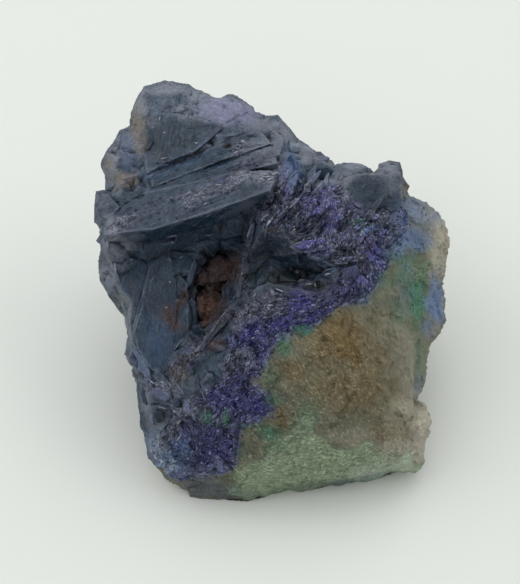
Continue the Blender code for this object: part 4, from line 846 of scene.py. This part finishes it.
def stained(g, colour, place, rust, green, ochre):
    """Lays rust, malachite and ochre stains, broken up by fine noise, over a colour."""
    speck = g.noise(place, 1.8, 6.0, 0.7)
    fine = g.noise(place, 6.0, 3.0, 0.65)
    rusty = g.ramp(fine, [
        (0.3, (0.020, 0.010, 0.009)), (0.52, chosen("rust")), (0.72, (0.17, 0.075, 0.04))])
    earthy = g.ramp(fine, [
        (0.3, (0.10, 0.085, 0.07)), (0.55, chosen("ochre")), (0.75, (0.36, 0.31, 0.25))])
    leafy = g.ramp(fine, [
        (0.3, (0.018, 0.080, 0.044)), (0.52, chosen("malachite")), (0.75, (0.24, 0.56, 0.38))])
    for tone, amount in ((rusty, rust), (earthy, ochre), (leafy, green)):
        share = g.mapped(g.plus(amount, g.times(g.math("SUBTRACT", speck, 0.5), 1.3)), 0.05, 1.0)
        share = g.times(share, g.mapped(amount, 0.0, 0.3))
        colour = g.mix(colour, tone, g.times(share, 0.9))
    return colour


def strokes(g, local, place, fineness, turns):
    """Noise drawn out into short strokes, which lie one way or the other from patch to patch."""
    fields = []
    for turn in turns:
        drawn = g.node("ShaderNodeMapping", 0, {"vector_type": "TEXTURE"},
                       Vector=local, Rotation=(0.0, 0.0, turn), Scale=(3.4, 1.0, 1.0))
        fields.append(g.noise(drawn, fineness, 3.0, 0.6))
    pick = g.mapped(g.split(g.cells(place, 0.8))[0], 0.45, 0.55)
    return g.plus(g.times(fields[0], pick), g.times(fields[1], g.math("SUBTRACT", 1.0, pick)))


def azurite_material():
    g = Graph("azurite_crystal")
    place = g.millimetres()
    grain, violet, pale = g.split(g.attribute("habit"))
    dust_and_painted_light = g.attribute("habit", "Alpha")
    rust, green, ochre = g.split(g.attribute("coat"))
    dark = g.attribute("coat", "Alpha")
    lay = g.attribute("lay", "Vector")
    state = g.tree.nodes.new("ShaderNodeSeparateXYZ")
    g.put(state.inputs[0], g.attribute("state", "Vector"))
    edge_light_and_crease_shade, splinter, slab = state.outputs

    broad = g.noise(place, 0.5, 5.0, 0.6)
    streak = g.noise(lay, 3.2, 6.0, 0.68)
    local = g.vector("MULTIPLY", lay, (8.3, 1.0, 1.0))
    long = g.vector("MULTIPLY", lay, (3.6, 1.0, 1.0))
    flake = strokes(g, local, place, 4.6, (0.5, -0.9))
    cell = g.cells(long, 2.4)
    chance = g.split(cell)[0]
    glitter = g.cells(long, 7.0)
    spark = g.split(glitter)[0]

    deep = g.ramp(g.plus(g.times(broad, 0.5), g.times(streak, 0.5)), [
        (0.32, (0.005, 0.014, 0.030)), (0.46, (0.011, 0.029, 0.057)), (0.56, chosen("azurite_blue")),
        (0.72, (0.052, 0.090, 0.130))])
    grainy = g.ramp(chance, [
        (0.0, (0.014, 0.016, 0.040)), (0.5, chosen("azurite_grain")), (1.0, (0.11, 0.115, 0.20))])
    colour = g.mix(deep, grainy, g.plus(grain, g.times(splinter, 0.6)))
    vivid = g.ramp(chance, [
        (0.0, (0.012, 0.012, 0.11)), (0.5, chosen("violet")), (1.0, (0.080, 0.085, 0.36))])
    colour = g.mix(colour, vivid, g.times(violet, 0.8))
    # Pale blue crystals; the same mask paints light onto shaded places.
    colour = g.mix(colour, chosen("pale_blue"), g.times(pale, 0.8))
    # A film of dust, which also paints light onto shaded places: lavender over violet grains, paler blue
    # where the pale mask is set.
    patchiness = g.noise(place, 3.0, 6.0, 0.72)
    dust_and_light_share = g.mapped(g.plus(dust_and_painted_light, g.times(g.math("SUBTRACT", patchiness, 0.5), 1.1)), 0.0, 1.1)
    dust_and_light_share = g.times(dust_and_light_share, g.mapped(dust_and_painted_light, 0.0, 0.25))
    dust_and_light_tone = g.mix(chosen("dust_and_painted_light"), (0.235, 0.225, 0.420), g.times(violet, 1.8))
    dust_and_light_tone = g.mix(dust_and_light_tone, (0.31, 0.39, 0.50), g.times(pale, 0.9))
    colour = g.mix(colour, dust_and_light_tone, g.times(dust_and_light_share, 0.85))
    # Painted highlight: dust above 1 turns the colour near white, for glints and lit-up places.
    colour = g.mix(colour, (0.45, 0.46, 0.56), g.mapped(dust_and_painted_light, 1.0, 1.6, 0.0, 0.9))
    colour = stained(g, colour, place, rust, green, ochre)
    crumbly = g.math("MAXIMUM", grain, g.plus(g.times(splinter, 0.7), 0.18))
    contrast = g.ramp(spark, [
        (0.0, (0.5, 0.5, 0.5)), (0.5, (0.9, 0.9, 0.9)), (0.80, (1.2, 1.2, 1.2)), (1.0, (3.0, 3.0, 3.0))])
    colour = g.tinted(colour, contrast, crumbly)
    # Painted highlights: bright strokes that stand for glitter on the grains, stronger where dust is set.
    light = g.times(g.mapped(flake, 0.575, 0.635), g.times(crumbly, g.plus(0.35, g.times(dust_and_painted_light, 0.9))))
    shine = g.mix((0.50, 0.54, 0.60), (0.47, 0.48, 0.72), violet)
    colour = g.mix(colour, shine, light)
    # Painted shade in the gaps between the strokes.
    colour = g.tinted(colour, (0.2, 0.2, 0.2), g.times(g.mapped(flake, 0.45, 0.36), crumbly))
    # Painted highlight on jutting edges and painted shade in creases, from the bulge of the mesh.
    colour = g.mix(colour, (0.11, 0.12, 0.17), g.mapped(edge_light_and_crease_shade, 0.15, 0.9, 0.0, 0.45))
    colour = g.tinted(colour, (0.35, 0.35, 0.35), g.mapped(edge_light_and_crease_shade, -0.1, -0.8))
    # Painted shade: darkens the colour in shaded hollows; on single blades and some loose grains the same
    # mask is their own darker tone.
    colour = g.tinted(colour, (0.25, 0.25, 0.25), dark)

    soiled = g.math("MAXIMUM", g.math("MAXIMUM", rust, ochre), g.math("MAXIMUM", green, dust_and_light_share))
    roughness = g.plus(0.18, g.times(g.split(cell)[1], 0.2))
    roughness = g.math("ADD", roughness, g.times(soiled, 0.3), True)

    tilt = g.scaled(g.vector("SUBTRACT", cell, (0.5, 0.5, 0.5)), g.times(grain, 0.55))
    fleck = g.scaled(g.vector("SUBTRACT", glitter, (0.5, 0.5, 0.5)), g.times(crumbly, 0.9))
    normal = g.vector("ADD", g.node("ShaderNodeNewGeometry", "Normal"), g.vector("ADD", tilt, fleck))
    normal = g.vector("NORMALIZE", normal)
    normal = g.bump(streak, g.math("SUBTRACT", 0.8, g.times(slab, 0.55)), 0.00022, normal)
    normal = g.bump(flake, g.times(crumbly, 0.8), 0.0003, normal)
    return g.finish(colour, roughness, normal, 1.42)


def matrix_material():
    g = Graph("host_rock")
    place = g.millimetres()
    lay = g.attribute("lay", "Vector")
    brown, pale_painted_light_and_shade, wall = g.split(g.attribute("earth"))
    blue = g.attribute("earth", "Alpha")
    rust, green, ochre = g.split(g.attribute("coat"))
    rough = g.attribute("coat", "Alpha")

    broad = g.noise(place, 0.4, 5.0, 0.6)
    fine = g.noise(place, 2.6, 6.0, 0.75)
    fibre = g.noise(lay, 3.6, 5.0, 0.7)
    flake = strokes(g, g.vector("MULTIPLY", lay, (4.2, 1.0, 1.0)), place, 4.0, (0.3, -0.5))
    blend = g.plus(g.times(broad, 0.4), g.plus(g.times(fine, 0.3), g.times(fibre, 0.3)))
    colour = g.ramp(blend, [
        (0.36, (0.115, 0.118, 0.078)), (0.47, (0.178, 0.180, 0.121)), (0.56, chosen("rock_grey")),
        (0.68, (0.47, 0.45, 0.34))])
    mixed = g.plus(g.times(fine, 0.4), g.times(fibre, 0.6))
    warm = g.ramp(mixed, [
        (0.34, (0.105, 0.066, 0.020)), (0.47, (0.170, 0.110, 0.036)), (0.56, chosen("rock_brown")),
        (0.68, (0.43, 0.32, 0.17))])
    colour = g.mix(colour, warm, g.times(brown, 0.85))
    # Pale rock, and painted light along the right-hand rim and on some bare places.
    pale = g.ramp(mixed, [
        (0.34, (0.41, 0.385, 0.31)), (0.52, (0.55, 0.52, 0.425)), (0.66, (0.69, 0.66, 0.55))])
    colour = g.mix(colour, pale, g.times(pale_painted_light_and_shade, 0.8))
    mossy = g.ramp(mixed, [
        (0.32, (0.14, 0.19, 0.115)), (0.46, (0.275, 0.357, 0.233)), (0.56, chosen("moss")),
        (0.68, (0.70, 0.80, 0.58))])
    # The green skin lightens too where painted light is set.
    mossy = g.mix(mossy, (0.66, 0.76, 0.62), g.times(pale_painted_light_and_shade, 0.5))
    share = g.mapped(g.plus(wall, g.times(g.math("SUBTRACT", fine, 0.5), 1.0)), 0.1, 0.9)
    colour = g.mix(colour, mossy, share)
    colour = stained(g, colour, place, rust, green, ochre)
    inky = g.ramp(fine, [(0.3, (0.08, 0.14, 0.29)), (0.5, chosen("blue_stain")), (0.7, (0.28, 0.38, 0.62))])
    share = g.mapped(g.plus(blue, g.times(g.math("SUBTRACT", broad, 0.5), 0.7)), 0.05, 1.0)
    colour = g.mix(colour, inky, g.times(g.times(share, g.mapped(blue, 0.0, 0.2)), 0.9))
    spark = g.split(g.cells(g.vector("MULTIPLY", lay, (2.0, 1.0, 1.0)), 6.0))[0]
    contrast = g.ramp(spark, [
        (0.0, (0.6, 0.6, 0.6)), (0.5, (0.9, 0.9, 0.9)), (0.85, (1.15, 1.15, 1.15)), (1.0, (1.9, 1.9, 1.8))])
    colour = g.tinted(colour, contrast, g.plus(g.times(rough, 0.45), 0.15))

    coarse = g.mapped(rough, 0.0, 0.9, 0.15, 1.0)
    greenish = g.plus(wall, green)
    # Painted highlights: short pale strokes that stand for glints on the fibres, stronger on the green skin.
    glint_stroke = g.times(g.mapped(flake, 0.60, 0.66), coarse)
    colour = g.mix(colour, (0.82, 0.82, 0.66), g.times(glint_stroke, g.plus(0.22, g.times(greenish, 0.28))))
    # Painted shade in the gaps between the fibres.
    gap = g.times(g.mapped(flake, 0.43, 0.35), coarse)
    colour = g.tinted(colour, (0.4, 0.4, 0.36), g.times(gap, g.plus(0.3, g.times(greenish, 0.35))))
    # Painted shade: below zero the pale channel darkens the colour.
    shade = g.times(pale_painted_light_and_shade, -1.0)
    colour = g.tinted(colour, (0.3, 0.33, 0.38), shade)

    roughness = g.mapped(fine, 0.3, 0.7, 0.5, 0.85)
    normal = g.bump(fibre, 0.8, 0.0004)
    normal = g.bump(fine, 0.7, 0.0004, normal)
    normal = g.bump(flake, 0.6, 0.0002, normal)
    normal = g.bump(g.noise(place, 8.0, 4.0, 0.7), 0.7, 0.00015, normal)
    return g.finish(colour, roughness, normal, 1.45)


def limonite_material():
    g = Graph("limonite_earth")
    place = g.millimetres()
    fine = g.noise(place, 2.2, 6.0, 0.75)
    dull = g.ramp(fine, [
        (0.34, (0.018, 0.012, 0.015)), (0.47, (0.044, 0.028, 0.033)), (0.56, (0.080, 0.048, 0.052)),
        (0.68, (0.16, 0.11, 0.11))])
    rusty = g.ramp(fine, [
        (0.34, (0.020, 0.012, 0.010)), (0.47, (0.062, 0.031, 0.021)), (0.56, chosen("limonite")),
        (0.68, (0.34, 0.19, 0.10))])
    colour = g.mix(dull, rusty, g.attribute("glow", "Fac"))
    normal = g.bump(fine, 0.9, 0.0006)
    return g.finish(colour, g.mapped(fine, 0.3, 0.7, 0.4, 0.85), normal, 1.5)


# ---- Loose crystals joined in one mesh ----
# A six-sided block with a bevelled top, one unit across: rings of six corners, from the top down.
RIM = np.array([(0.5, 0.02), (0.36, 0.42), (-0.3, 0.5), (-0.5, 0.06), (-0.38, -0.44), (0.3, -0.5)])
BLOCK = np.concatenate([
    np.c_[RIM * (0.86, 0.72), np.full(6, 0.5)],
    np.c_[RIM, np.full(6, 0.32)],
    np.c_[RIM * 0.96, np.full(6, -0.5)],
])


def block_faces():
    """Corners of the block's triangles: top, underside and the two bands between the rings."""
    faces = [(0, i, i + 1) for i in range(1, 5)] + [(12, i + 1, i) for i in range(13, 17)]
    for side in range(6):
        after = (side + 1) % 6
        for ring in (0, 6):
            faces.append((ring + side, ring + 6 + side, ring + 6 + after))
            faces.append((ring + side, ring + 6 + after, ring + after))
    return np.array(faces)


BLOCK_FACES = block_faces()


def scattered(piece, weights, count, rng):
    """Random places on a piece's faces, more where the point weight is high: (places, face normals)."""
    corners = triangles_of(piece.data)
    points = points_of(piece.data)
    a, b, c = (points[corners[:, i]] for i in range(3))
    normals = np.cross(b - a, c - a)
    chance = np.linalg.norm(normals, axis=1) * weights[corners].mean(1)
    faces = rng.choice(len(corners), count, p=chance / chance.sum())
    s, t = rng.random((2, count, 1))
    s, t = np.where(s + t > 1, 1 - s, s), np.where(s + t > 1, 1 - t, t)
    return a[faces] + s * (b[faces] - a[faces]) + t * (c[faces] - a[faces]), unit(normals[faces])


def blocks(name, places, along, normals, sizes, rng):
    """One mesh of many crystal blocks. Each lies along its own direction, with its top towards its normal."""
    normals = unit(normals)
    along = unit(along - normals * (along * normals).sum(1, keepdims=True))
    frames = np.stack([along, np.cross(normals, along), normals], 1)
    shapes = BLOCK[None] * (1 + rng.uniform(-0.16, 0.16, (len(places), len(BLOCK), 3)) * (1, 1, 0.4))
    points = places[:, None, :] + np.einsum("nvk,nk,nkj->nvj", shapes, sizes, frames)
    corners = (BLOCK_FACES[None] + (np.arange(len(places)) * len(BLOCK))[:, None, None]).reshape(-1, 3)
    return new_piece(name, kept_in(points.reshape(-1, 3)), corners)


def seen_from_eye(trees, across, up):
    """(place, normal) of the first surface that the eye sees at a point of the face drawing, or None."""
    eye = FACE_CENTRE + OUT * EYE_DISTANCE
    way = unit((FACE_CENTRE + across * ACROSS + up * UP - eye)[None])[0]
    hits = [tree.ray_cast(Vector(eye * MM), Vector(way)) for tree in trees]
    hits = [hit for hit in hits if hit[0] is not None]
    if not hits:
        return None
    place, normal, _, _ = min(hits, key=lambda hit: hit[3])
    return np.array(place) / MM, np.array(normal)


def along_contact(count, rng):
    """Random places close to the contact of azurite and matrix: (places, normals)."""
    line = np.array(CONTACT)
    lengths = np.linalg.norm(np.diff(line, axis=0), axis=1)
    start = rng.choice(len(lengths), count, p=lengths / lengths.sum())
    share = rng.random((count, 1))
    near = line[start] * (1 - share) + line[start + 1] * share + rng.normal(0, 0.32, (count, 2))
    trees = [tree_of(bpy.data.objects[name]) for name in ("azurite_mass", "host_rock")]
    hits = [hit for hit in (seen_from_eye(trees, *place) for place in near) if hit]
    return np.array([hit[0] for hit in hits]), np.array([hit[1] for hit in hits])


# ---- Stage ----
def add_floor(scene):
    mesh = bpy.data.meshes.new("floor")
    mesh.from_pydata([(-2, -2, 0), (2, -2, 0), (2, 2, 0), (-2, 2, 0)], [], [(0, 1, 2, 3)])
    floor = bpy.data.objects.new("floor", mesh)
    scene.collection.objects.link(floor)
    g = Graph("pale_floor")
    place = g.millimetres()
    tone = g.mix((0.690, 0.717, 0.688), chosen("floor"), g.noise(place, 0.02))
    mesh.materials.append(g.finish(tone, 0.6, g.bump(g.noise(place, 0.8), 0.02, 0.0002), 1.45))
    floor.location.z = -0.05 * MM


def add_softboxes(scene):
    """Round softboxes, half a metre across, aimed at the middle of the specimen."""
    settings = scene.specimen
    aim = Vector((0, 0, 0.02))
    for name, place, power, colour in (
        ("key softbox", (0.09, 0.34, 0.58), settings.key_power, (0.97, 0.99, 1.0)),
        ("left fill", (-0.42, 0.05, 0.42), settings.side_power, (1.0, 1.0, 1.0)),
        ("right fill", (0.45, 0.05, 0.40), 0.6 * settings.side_power, (1.0, 1.0, 1.0)),
        ("front fill", (-0.2, -0.55, 0.6), settings.fill_power, (1.0, 0.99, 0.97)),
    ):
        lamp = bpy.data.lights.new(name, "AREA")
        lamp.shape = "DISK"
        lamp.size = 0.5
        lamp.energy = power
        lamp.color = colour
        holder = bpy.data.objects.new(name, lamp)
        holder.location = place
        holder.rotation_euler = (aim - Vector(place)).to_track_quat("-Z", "Y").to_euler()
        scene.collection.objects.link(holder)


def add_white_room(scene):
    """White surroundings, brighter low down and behind than above the face."""
    world = bpy.data.worlds.new("white room")
    world.use_nodes = True
    scene.world = world
    tree = world.node_tree
    aim = tree.nodes.new("ShaderNodeVectorMath")
    aim.operation = "DOT_PRODUCT"
    tree.links.new(tree.nodes.new("ShaderNodeTexCoord").outputs["Generated"], aim.inputs[0])
    aim.inputs[1].default_value = tuple(OUT)
    fall = tree.nodes.new("ShaderNodeMapRange")
    tree.links.new(aim.outputs["Value"], fall.inputs[0])
    for socket, value in zip(list(fall.inputs)[1:5], (0.1, 0.95, 1.08, 0.46)):
        socket.default_value = value
    level = tree.nodes.new("ShaderNodeMath")
    level.operation = "MULTIPLY"
    tree.links.new(fall.outputs[0], level.inputs[0])
    level.inputs[1].default_value = scene.specimen.sky
    back = tree.nodes["Background"]
    tree.links.new(level.outputs[0], back.inputs["Strength"])
    back.inputs["Color"].default_value = (1.0, 1.0, 0.98, 1.0)


def add_camera(scene):
    camera = bpy.data.cameras.new("camera")
    camera.sensor_width = 36.0
    camera.lens = camera.sensor_width * EYE_DISTANCE / VIEW_HEIGHT
    camera.clip_start = 0.01
    camera.clip_end = 10.0
    eye = bpy.data.objects.new("camera", camera)
    turn = Matrix((ACROSS, UP, OUT)).transposed().to_4x4()
    eye.matrix_world = Matrix.Translation((FACE_CENTRE + OUT * EYE_DISTANCE) * MM) @ turn
    scene.collection.objects.link(eye)
    scene.camera = eye


# ---- Operators ----
class SPECIMEN_OT_matrix(Operator):
    """Builds the iron-stained host rock with its malachite skin"""

    bl_idname = "specimen.matrix"
    bl_label = "Host rock"

    def execute(self, context):
        settings = context.scene.specimen
        piece = refined("matrix", "host_rock", settings, ["azurite", "vug_limonite"])
        mesh = piece.data
        points, normals = points_of(mesh), normals_of(mesh)
        seen, shown = on_face(points), facing(normals)
        steep = ramped(normals[:, 2], 0.8, 0.4)
        wall = zone(seen, WALL, 1.8, 2.4) * np.maximum(0.4 + 0.6 * steep, zone(seen, MOSSY_PATCH, 0.8))
        wall *= ramped(-seen[:, 1], 13.0, 22.0) * 0.5 + 0.5
        low = np.clip(points[:, 2] / 1.2, 0, 1)
        fibrous = facets(lay_of(points, normals) * (0.35, 1.0, 1.0), 1.0, 20)
        rise = 0.22 * fractal(points, 2.6, 4, 3) + 0.5 * fibrous + 0.35 * facets(points, 1.7, 33) - 0.08
        near = near_to(points, "azurite", TOUCHING)
        closed = 1.05 * SEAM
        foot = 0.7 * (fractal(points * (1, 1, 0), 1.8, 4, 61) - 0.4)
        outward = np.where(near, closed, np.where(low > 0.9, rise, foot))
        moved = points + normals * (1, 1, 0) * outward[:, None]
        moved[:, 2] += normals[:, 2] * np.where(near, closed, rise * low)
        put_points(mesh, kept_in(moved))

        def loosely(size, salt, start):
            return 0.6 * ramped(fractal(points, size, 4, salt), start, start + 0.5) * (1 - shown)

        brown = spots(seen, BROWN, 0.5, 0.8) * shown + loosely(7.0, 21, -0.1)
        # Painted shade: the listed shaded parts, and a darker band low down by the floor.
        shade = np.maximum(spots(seen, ROCK_PAINTED_SHADE), 0.4 * ramped(points[:, 2], 2.0, 0.2)) * shown
        pale_painted_light_and_shade = spots(seen, PALE_ROCK_AND_PAINTED_LIGHT, 0.4, 0.8) * shown + loosely(5.0, 22, 0.2) - shade
        contact = 0.6 * np.exp(-(distance_to(seen, CONTACT) / 0.6) ** 2)
        blue = np.maximum(spots(seen, BLUE_STAIN, 0.5, 0.9), contact) * shown + loosely(4.0, 24, 0.25)
        green = spots(seen, MALACHITE, 0.6, 0.9) * shown + loosely(5.0, 25, 0.15)
        rough = zone(seen, ROUGH_ROCK, 2.0, 1.0)
        put_values(mesh, "earth", [brown, pale_painted_light_and_shade, wall * shown + loosely(6.0, 23, 0.0), blue])
        put_values(mesh, "coat", [loosely(5.0, 26, 0.25), green, 0.6 * spots(seen, OCHRE) * shown, rough])
        fibres = np.radians(np.where(wall > 0.5, 17.0, -52.0))[:, None]
        along = np.cos(fibres) * ACROSS + np.sin(fibres) * UP
        side = np.cross(along, OUT)
        lay = np.stack([(points * along).sum(1) * 0.24, (points * side).sum(1), points @ OUT], 1)
        put_vectors(mesh, "lay", lay)
        finish_piece(piece, ["matrix"], matrix_material(), 40)
        return {"FINISHED"}


class SPECIMEN_OT_azurite(Operator):
    """Builds the mass of intergrown azurite blades with its granular fields"""

    bl_idname = "specimen.azurite"
    bl_label = "Azurite"

    def execute(self, context):
        settings = context.scene.specimen
        piece = refined("azurite", "azurite_mass", settings, ["matrix", "vug_limonite"])
        mesh = piece.data
        points, normals = points_of(mesh), normals_of(mesh)
        seen, masks = azurite_masks(points, normals)
        lay = lay_of(points, normals)
        plain = (1 - masks["grain"]) * (1 - masks["slab"])
        front = normals @ OUT
        small = 0.2 * facets(lay * (4.0, 1.0, 1.0), 0.7, 60)
        rise = masks["grain"] * (small + 0.5 * facets(points, 1.7, 90) - 0.02)
        rise += masks["splinter"] * (0.75 * facets(lay * (0.35, 1.0, 1.0), 1.1, 7) - 0.05)
        rise += masks["ledge"] * 0.32 * facets(lay * (0.12, 1.0, 1.0), 0.8, 17)
        rise += plain * (0.2 * facets(points, 1.3, 44) + 0.06 * fractal(points, 0.9, 3, 12))
        rise += masks["slab"] * 0.1 * facets(lay * (0.08, 1.0, 1.0), 2.6, 18)
        rise += 0.32 * ramped(front, -0.15, 0.1) * (1 - abs(front)) ** 2 * fractal(points, 1.2, 2, 81)
        rise -= 0.5 * ramped(masks["dark"], 0.7, 1.0)
        near = near_to(points, "matrix", TOUCHING)
        put_points(mesh, kept_in(points + normals * np.where(near, 0.1, rise)[:, None]))
        store_azurite(mesh, points, normals, masks, bulge_of(mesh))
        finish_piece(piece, ["azurite"], azurite_material(), 24)
        return {"FINISHED"}


class SPECIMEN_OT_grains(Operator):
    """Grows loose grains and thin splinters over the azurite"""

    bl_idname = "specimen.grains"
    bl_label = "Grains and splinters"

    def execute(self, context):
        settings = context.scene.specimen
        rng = np.random.default_rng(settings.seed)
        base = bpy.data.objects["azurite_mass"]
        points, normals = points_of(base.data), normals_of(base.data)
        seen, masks = azurite_masks(points, normals)
        bare = (0.25 + 0.75 * ramped(normals @ OUT, -0.1, 0.4)) * ~near_to(points, "matrix", 0.5)
        flat_on = ramped(normals @ OUT, 0.1, 0.5)
        splintery = (masks["splinter"] + 0.15 * masks["grain"]) * flat_on
        for name, weight, count, long, wide, thick, spread in (
            ("azurite_grains", masks["grain"], settings.grains, (0.14, 0.75), (0.18, 0.6), 0.2, 0.55),
            ("azurite_splinters", splintery, settings.splinters, (0.5, 2.1), (0.1, 0.24), 0.12, 0.3),
        ):
            places, outward = scattered(base, weight**2 * bare, count, rng)
            if name == "azurite_grains":
                edge, way = along_contact(settings.edge_grains, rng)
                places, outward = np.concatenate([places, edge]), np.concatenate([outward, way])
                count = len(places)
            lay = on_face(places)
            angle = np.radians(bearings(lay) + rng.normal(0, 12, count))[:, None]
            along = np.cos(angle) * ACROSS + np.sin(angle) * UP + rng.normal(0, spread, places.shape)
            along -= 0.85 * outward * (along * outward).sum(1, keepdims=True)
            lengths = long[0] * (long[1] / long[0]) ** (rng.random(count) ** 1.7)
            sizes = np.stack([lengths, lengths * rng.uniform(*wide, count), lengths * thick + 0.1], 1)
            drift = np.stack([noise(places, 3.0, 70 + k) for k in range(3)], 1)
            top = outward + spread * (drift + 0.6 * rng.normal(0, 1, places.shape))
            piece = blocks(name, places, along, top, sizes, rng)
            around, ways = points_of(piece.data), np.repeat(outward, len(BLOCK), 0)
            _, own = azurite_masks(around, ways)
            finish = np.repeat(rng.random(count), len(BLOCK))
            own["dust_and_painted_light"] = np.maximum(own["dust_and_painted_light"], 0.75 * (finish > 0.84))
            own["dark"] = np.maximum(own["dark"], 0.6 * (finish < 0.22))
            own["grain"] = own["grain"] * 0.6
            store_azurite(piece.data, around, ways, own, 0 * finish)
            finish_piece(piece, [], bpy.data.materials["azurite_crystal"])
        return {"FINISHED"}


class SPECIMEN_OT_blades(Operator):
    """Sets the larger single blades and cleavage faces in their places; the glint and edge ones are painted
    highlights
    """

    bl_idname = "specimen.blades"
    bl_label = "Single blades"

    def execute(self, context):
        rng = np.random.default_rng(context.scene.specimen.seed + 1)
        trees = [tree_of(bpy.data.objects["azurite_mass"])]
        places, along, tops, sizes, tones = [], [], [], [], []
        for across, up, long, wide, bearing, lean_up, lean_right, tone in BLADES:
            hit = seen_from_eye(trees, across, up)
            if hit is None:
                raise ValueError(f"no azurite at {across}, {up}")
            turn = math.radians(bearing)
            thick = 0.5 * wide + 0.25
            top = OUT + math.tan(math.radians(lean_up)) * UP + math.tan(math.radians(lean_right)) * ACROSS
            places.append(hit[0] + OUT * (0.1 + 0.05 * wide - 0.5 * thick))
            along.append(math.cos(turn) * ACROSS + math.sin(turn) * UP)
            tops.append(top)
            sizes.append((long, wide, thick))
            tones.append(TONES[tone])
        piece = blocks("azurite_blades", *map(np.array, (places, along, tops, sizes)), rng)
        points = points_of(piece.data)
        ways = np.repeat(np.array(tops), len(BLOCK), 0)
        _, masks = azurite_masks(points, unit(ways))
        tones = np.repeat(np.array(tones), len(BLOCK), 0)
        for name, column in zip(("violet", "pale", "dust_and_painted_light", "green", "dark"), tones.T):
            masks[name] = column
        for name in ("rust", "ochre", "grain"):
            masks[name] = masks[name] * 0.4
        store_azurite(piece.data, points, unit(ways), masks, 0 * points[:, 0])
        finish_piece(piece, [], bpy.data.materials["azurite_crystal"])
        return {"FINISHED"}


class SPECIMEN_OT_limonite(Operator):
    """Builds the rust-brown lumps in the open pocket, and the crumbs on the rusty azurite around it"""

    bl_idname = "specimen.limonite"
    bl_label = "Limonite"

    def execute(self, context):
        settings = context.scene.specimen
        piece = refined("vug_limonite", "limonite_lumps", settings, [])
        mesh = piece.data
        points, normals = points_of(mesh), normals_of(mesh)
        rise = 0.5 * fractal(points, 1.6, 4, 3) + 0.5 * facets(points, 0.9, 4) - 0.1
        rise -= 1.5 * spots(on_face(points), CLEFT, 0.15)
        put_points(mesh, kept_in(points + normals * rise[:, None]))
        glow = spots(on_face(points), RUSTY_LUMPS, 0.6, 0.9)
        put_values(mesh, "glow", [glow, glow, glow, glow])
        finish_piece(piece, ["vug_limonite"], limonite_material(), 60)

        rng = np.random.default_rng(settings.seed + 2)
        base = bpy.data.objects["azurite_mass"]
        points, normals = points_of(base.data), normals_of(base.data)
        rusty = azurite_masks(points, normals)[1]["rust"] * (0.3 + 0.7 * facing(normals))
        places, outward = scattered(base, ramped(rusty, 0.5, 0.9), settings.crumbs, rng)
        lengths = 0.18 * 3.0 ** (rng.random(len(places)) ** 1.8)
        sizes = lengths[:, None] * rng.uniform(0.5, 1.0, (len(places), 3))
        crumbs = blocks("limonite_crumbs", places, rng.normal(0, 1, places.shape),
                        outward + rng.normal(0, 0.5, places.shape), sizes, rng)
        finish_piece(crumbs, [], bpy.data.materials["limonite_earth"])
        return {"FINISHED"}


class SPECIMEN_OT_stage(Operator):
    """Sets the pale floor, the soft lights, the white surroundings and the camera"""

    bl_idname = "specimen.stage"
    bl_label = "Stage"

    def execute(self, context):
        scene = context.scene
        scene.view_settings.view_transform = "Standard"
        add_floor(scene)
        add_softboxes(scene)
        add_white_room(scene)
        add_camera(scene)
        return {"FINISHED"}


class SPECIMEN_PT_panel(Panel):
    """Sidebar panel with one button for each group of pieces"""

    bl_idname = "SPECIMEN_PT_panel"
    bl_label = "Azurite specimen"
    bl_space_type = "VIEW_3D"
    bl_region_type = "UI"
    bl_category = "Specimen"

    def draw(self, context):
        scene = context.scene
        for name in SpecimenSettings.__annotations__:
            self.layout.prop(scene.specimen, name)
        for name in SpecimenColours.__annotations__:
            self.layout.prop(scene.specimen_colours, name)
        for operator in OPERATORS:
            self.layout.operator(operator.bl_idname)


OPERATORS = (
    SPECIMEN_OT_matrix, SPECIMEN_OT_azurite, SPECIMEN_OT_grains, SPECIMEN_OT_blades, SPECIMEN_OT_limonite,
    SPECIMEN_OT_stage,
)
CLASSES = (SpecimenSettings, SpecimenColours, *OPERATORS, SPECIMEN_PT_panel)


def register():
    for cls in CLASSES:
        bpy.utils.register_class(cls)
    bpy.types.Scene.specimen = PointerProperty(type=SpecimenSettings)
    bpy.types.Scene.specimen_colours = PointerProperty(type=SpecimenColours)


def unregister():
    del bpy.types.Scene.specimen_colours
    del bpy.types.Scene.specimen
    for cls in reversed(CLASSES):
        bpy.utils.unregister_class(cls)


def main():
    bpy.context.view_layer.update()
    register()
    for step in (bpy.ops.specimen.matrix, bpy.ops.specimen.azurite, bpy.ops.specimen.grains,
                 bpy.ops.specimen.blades, bpy.ops.specimen.limonite, bpy.ops.specimen.stage):
        step()


if __name__ == "__main__":
    main()
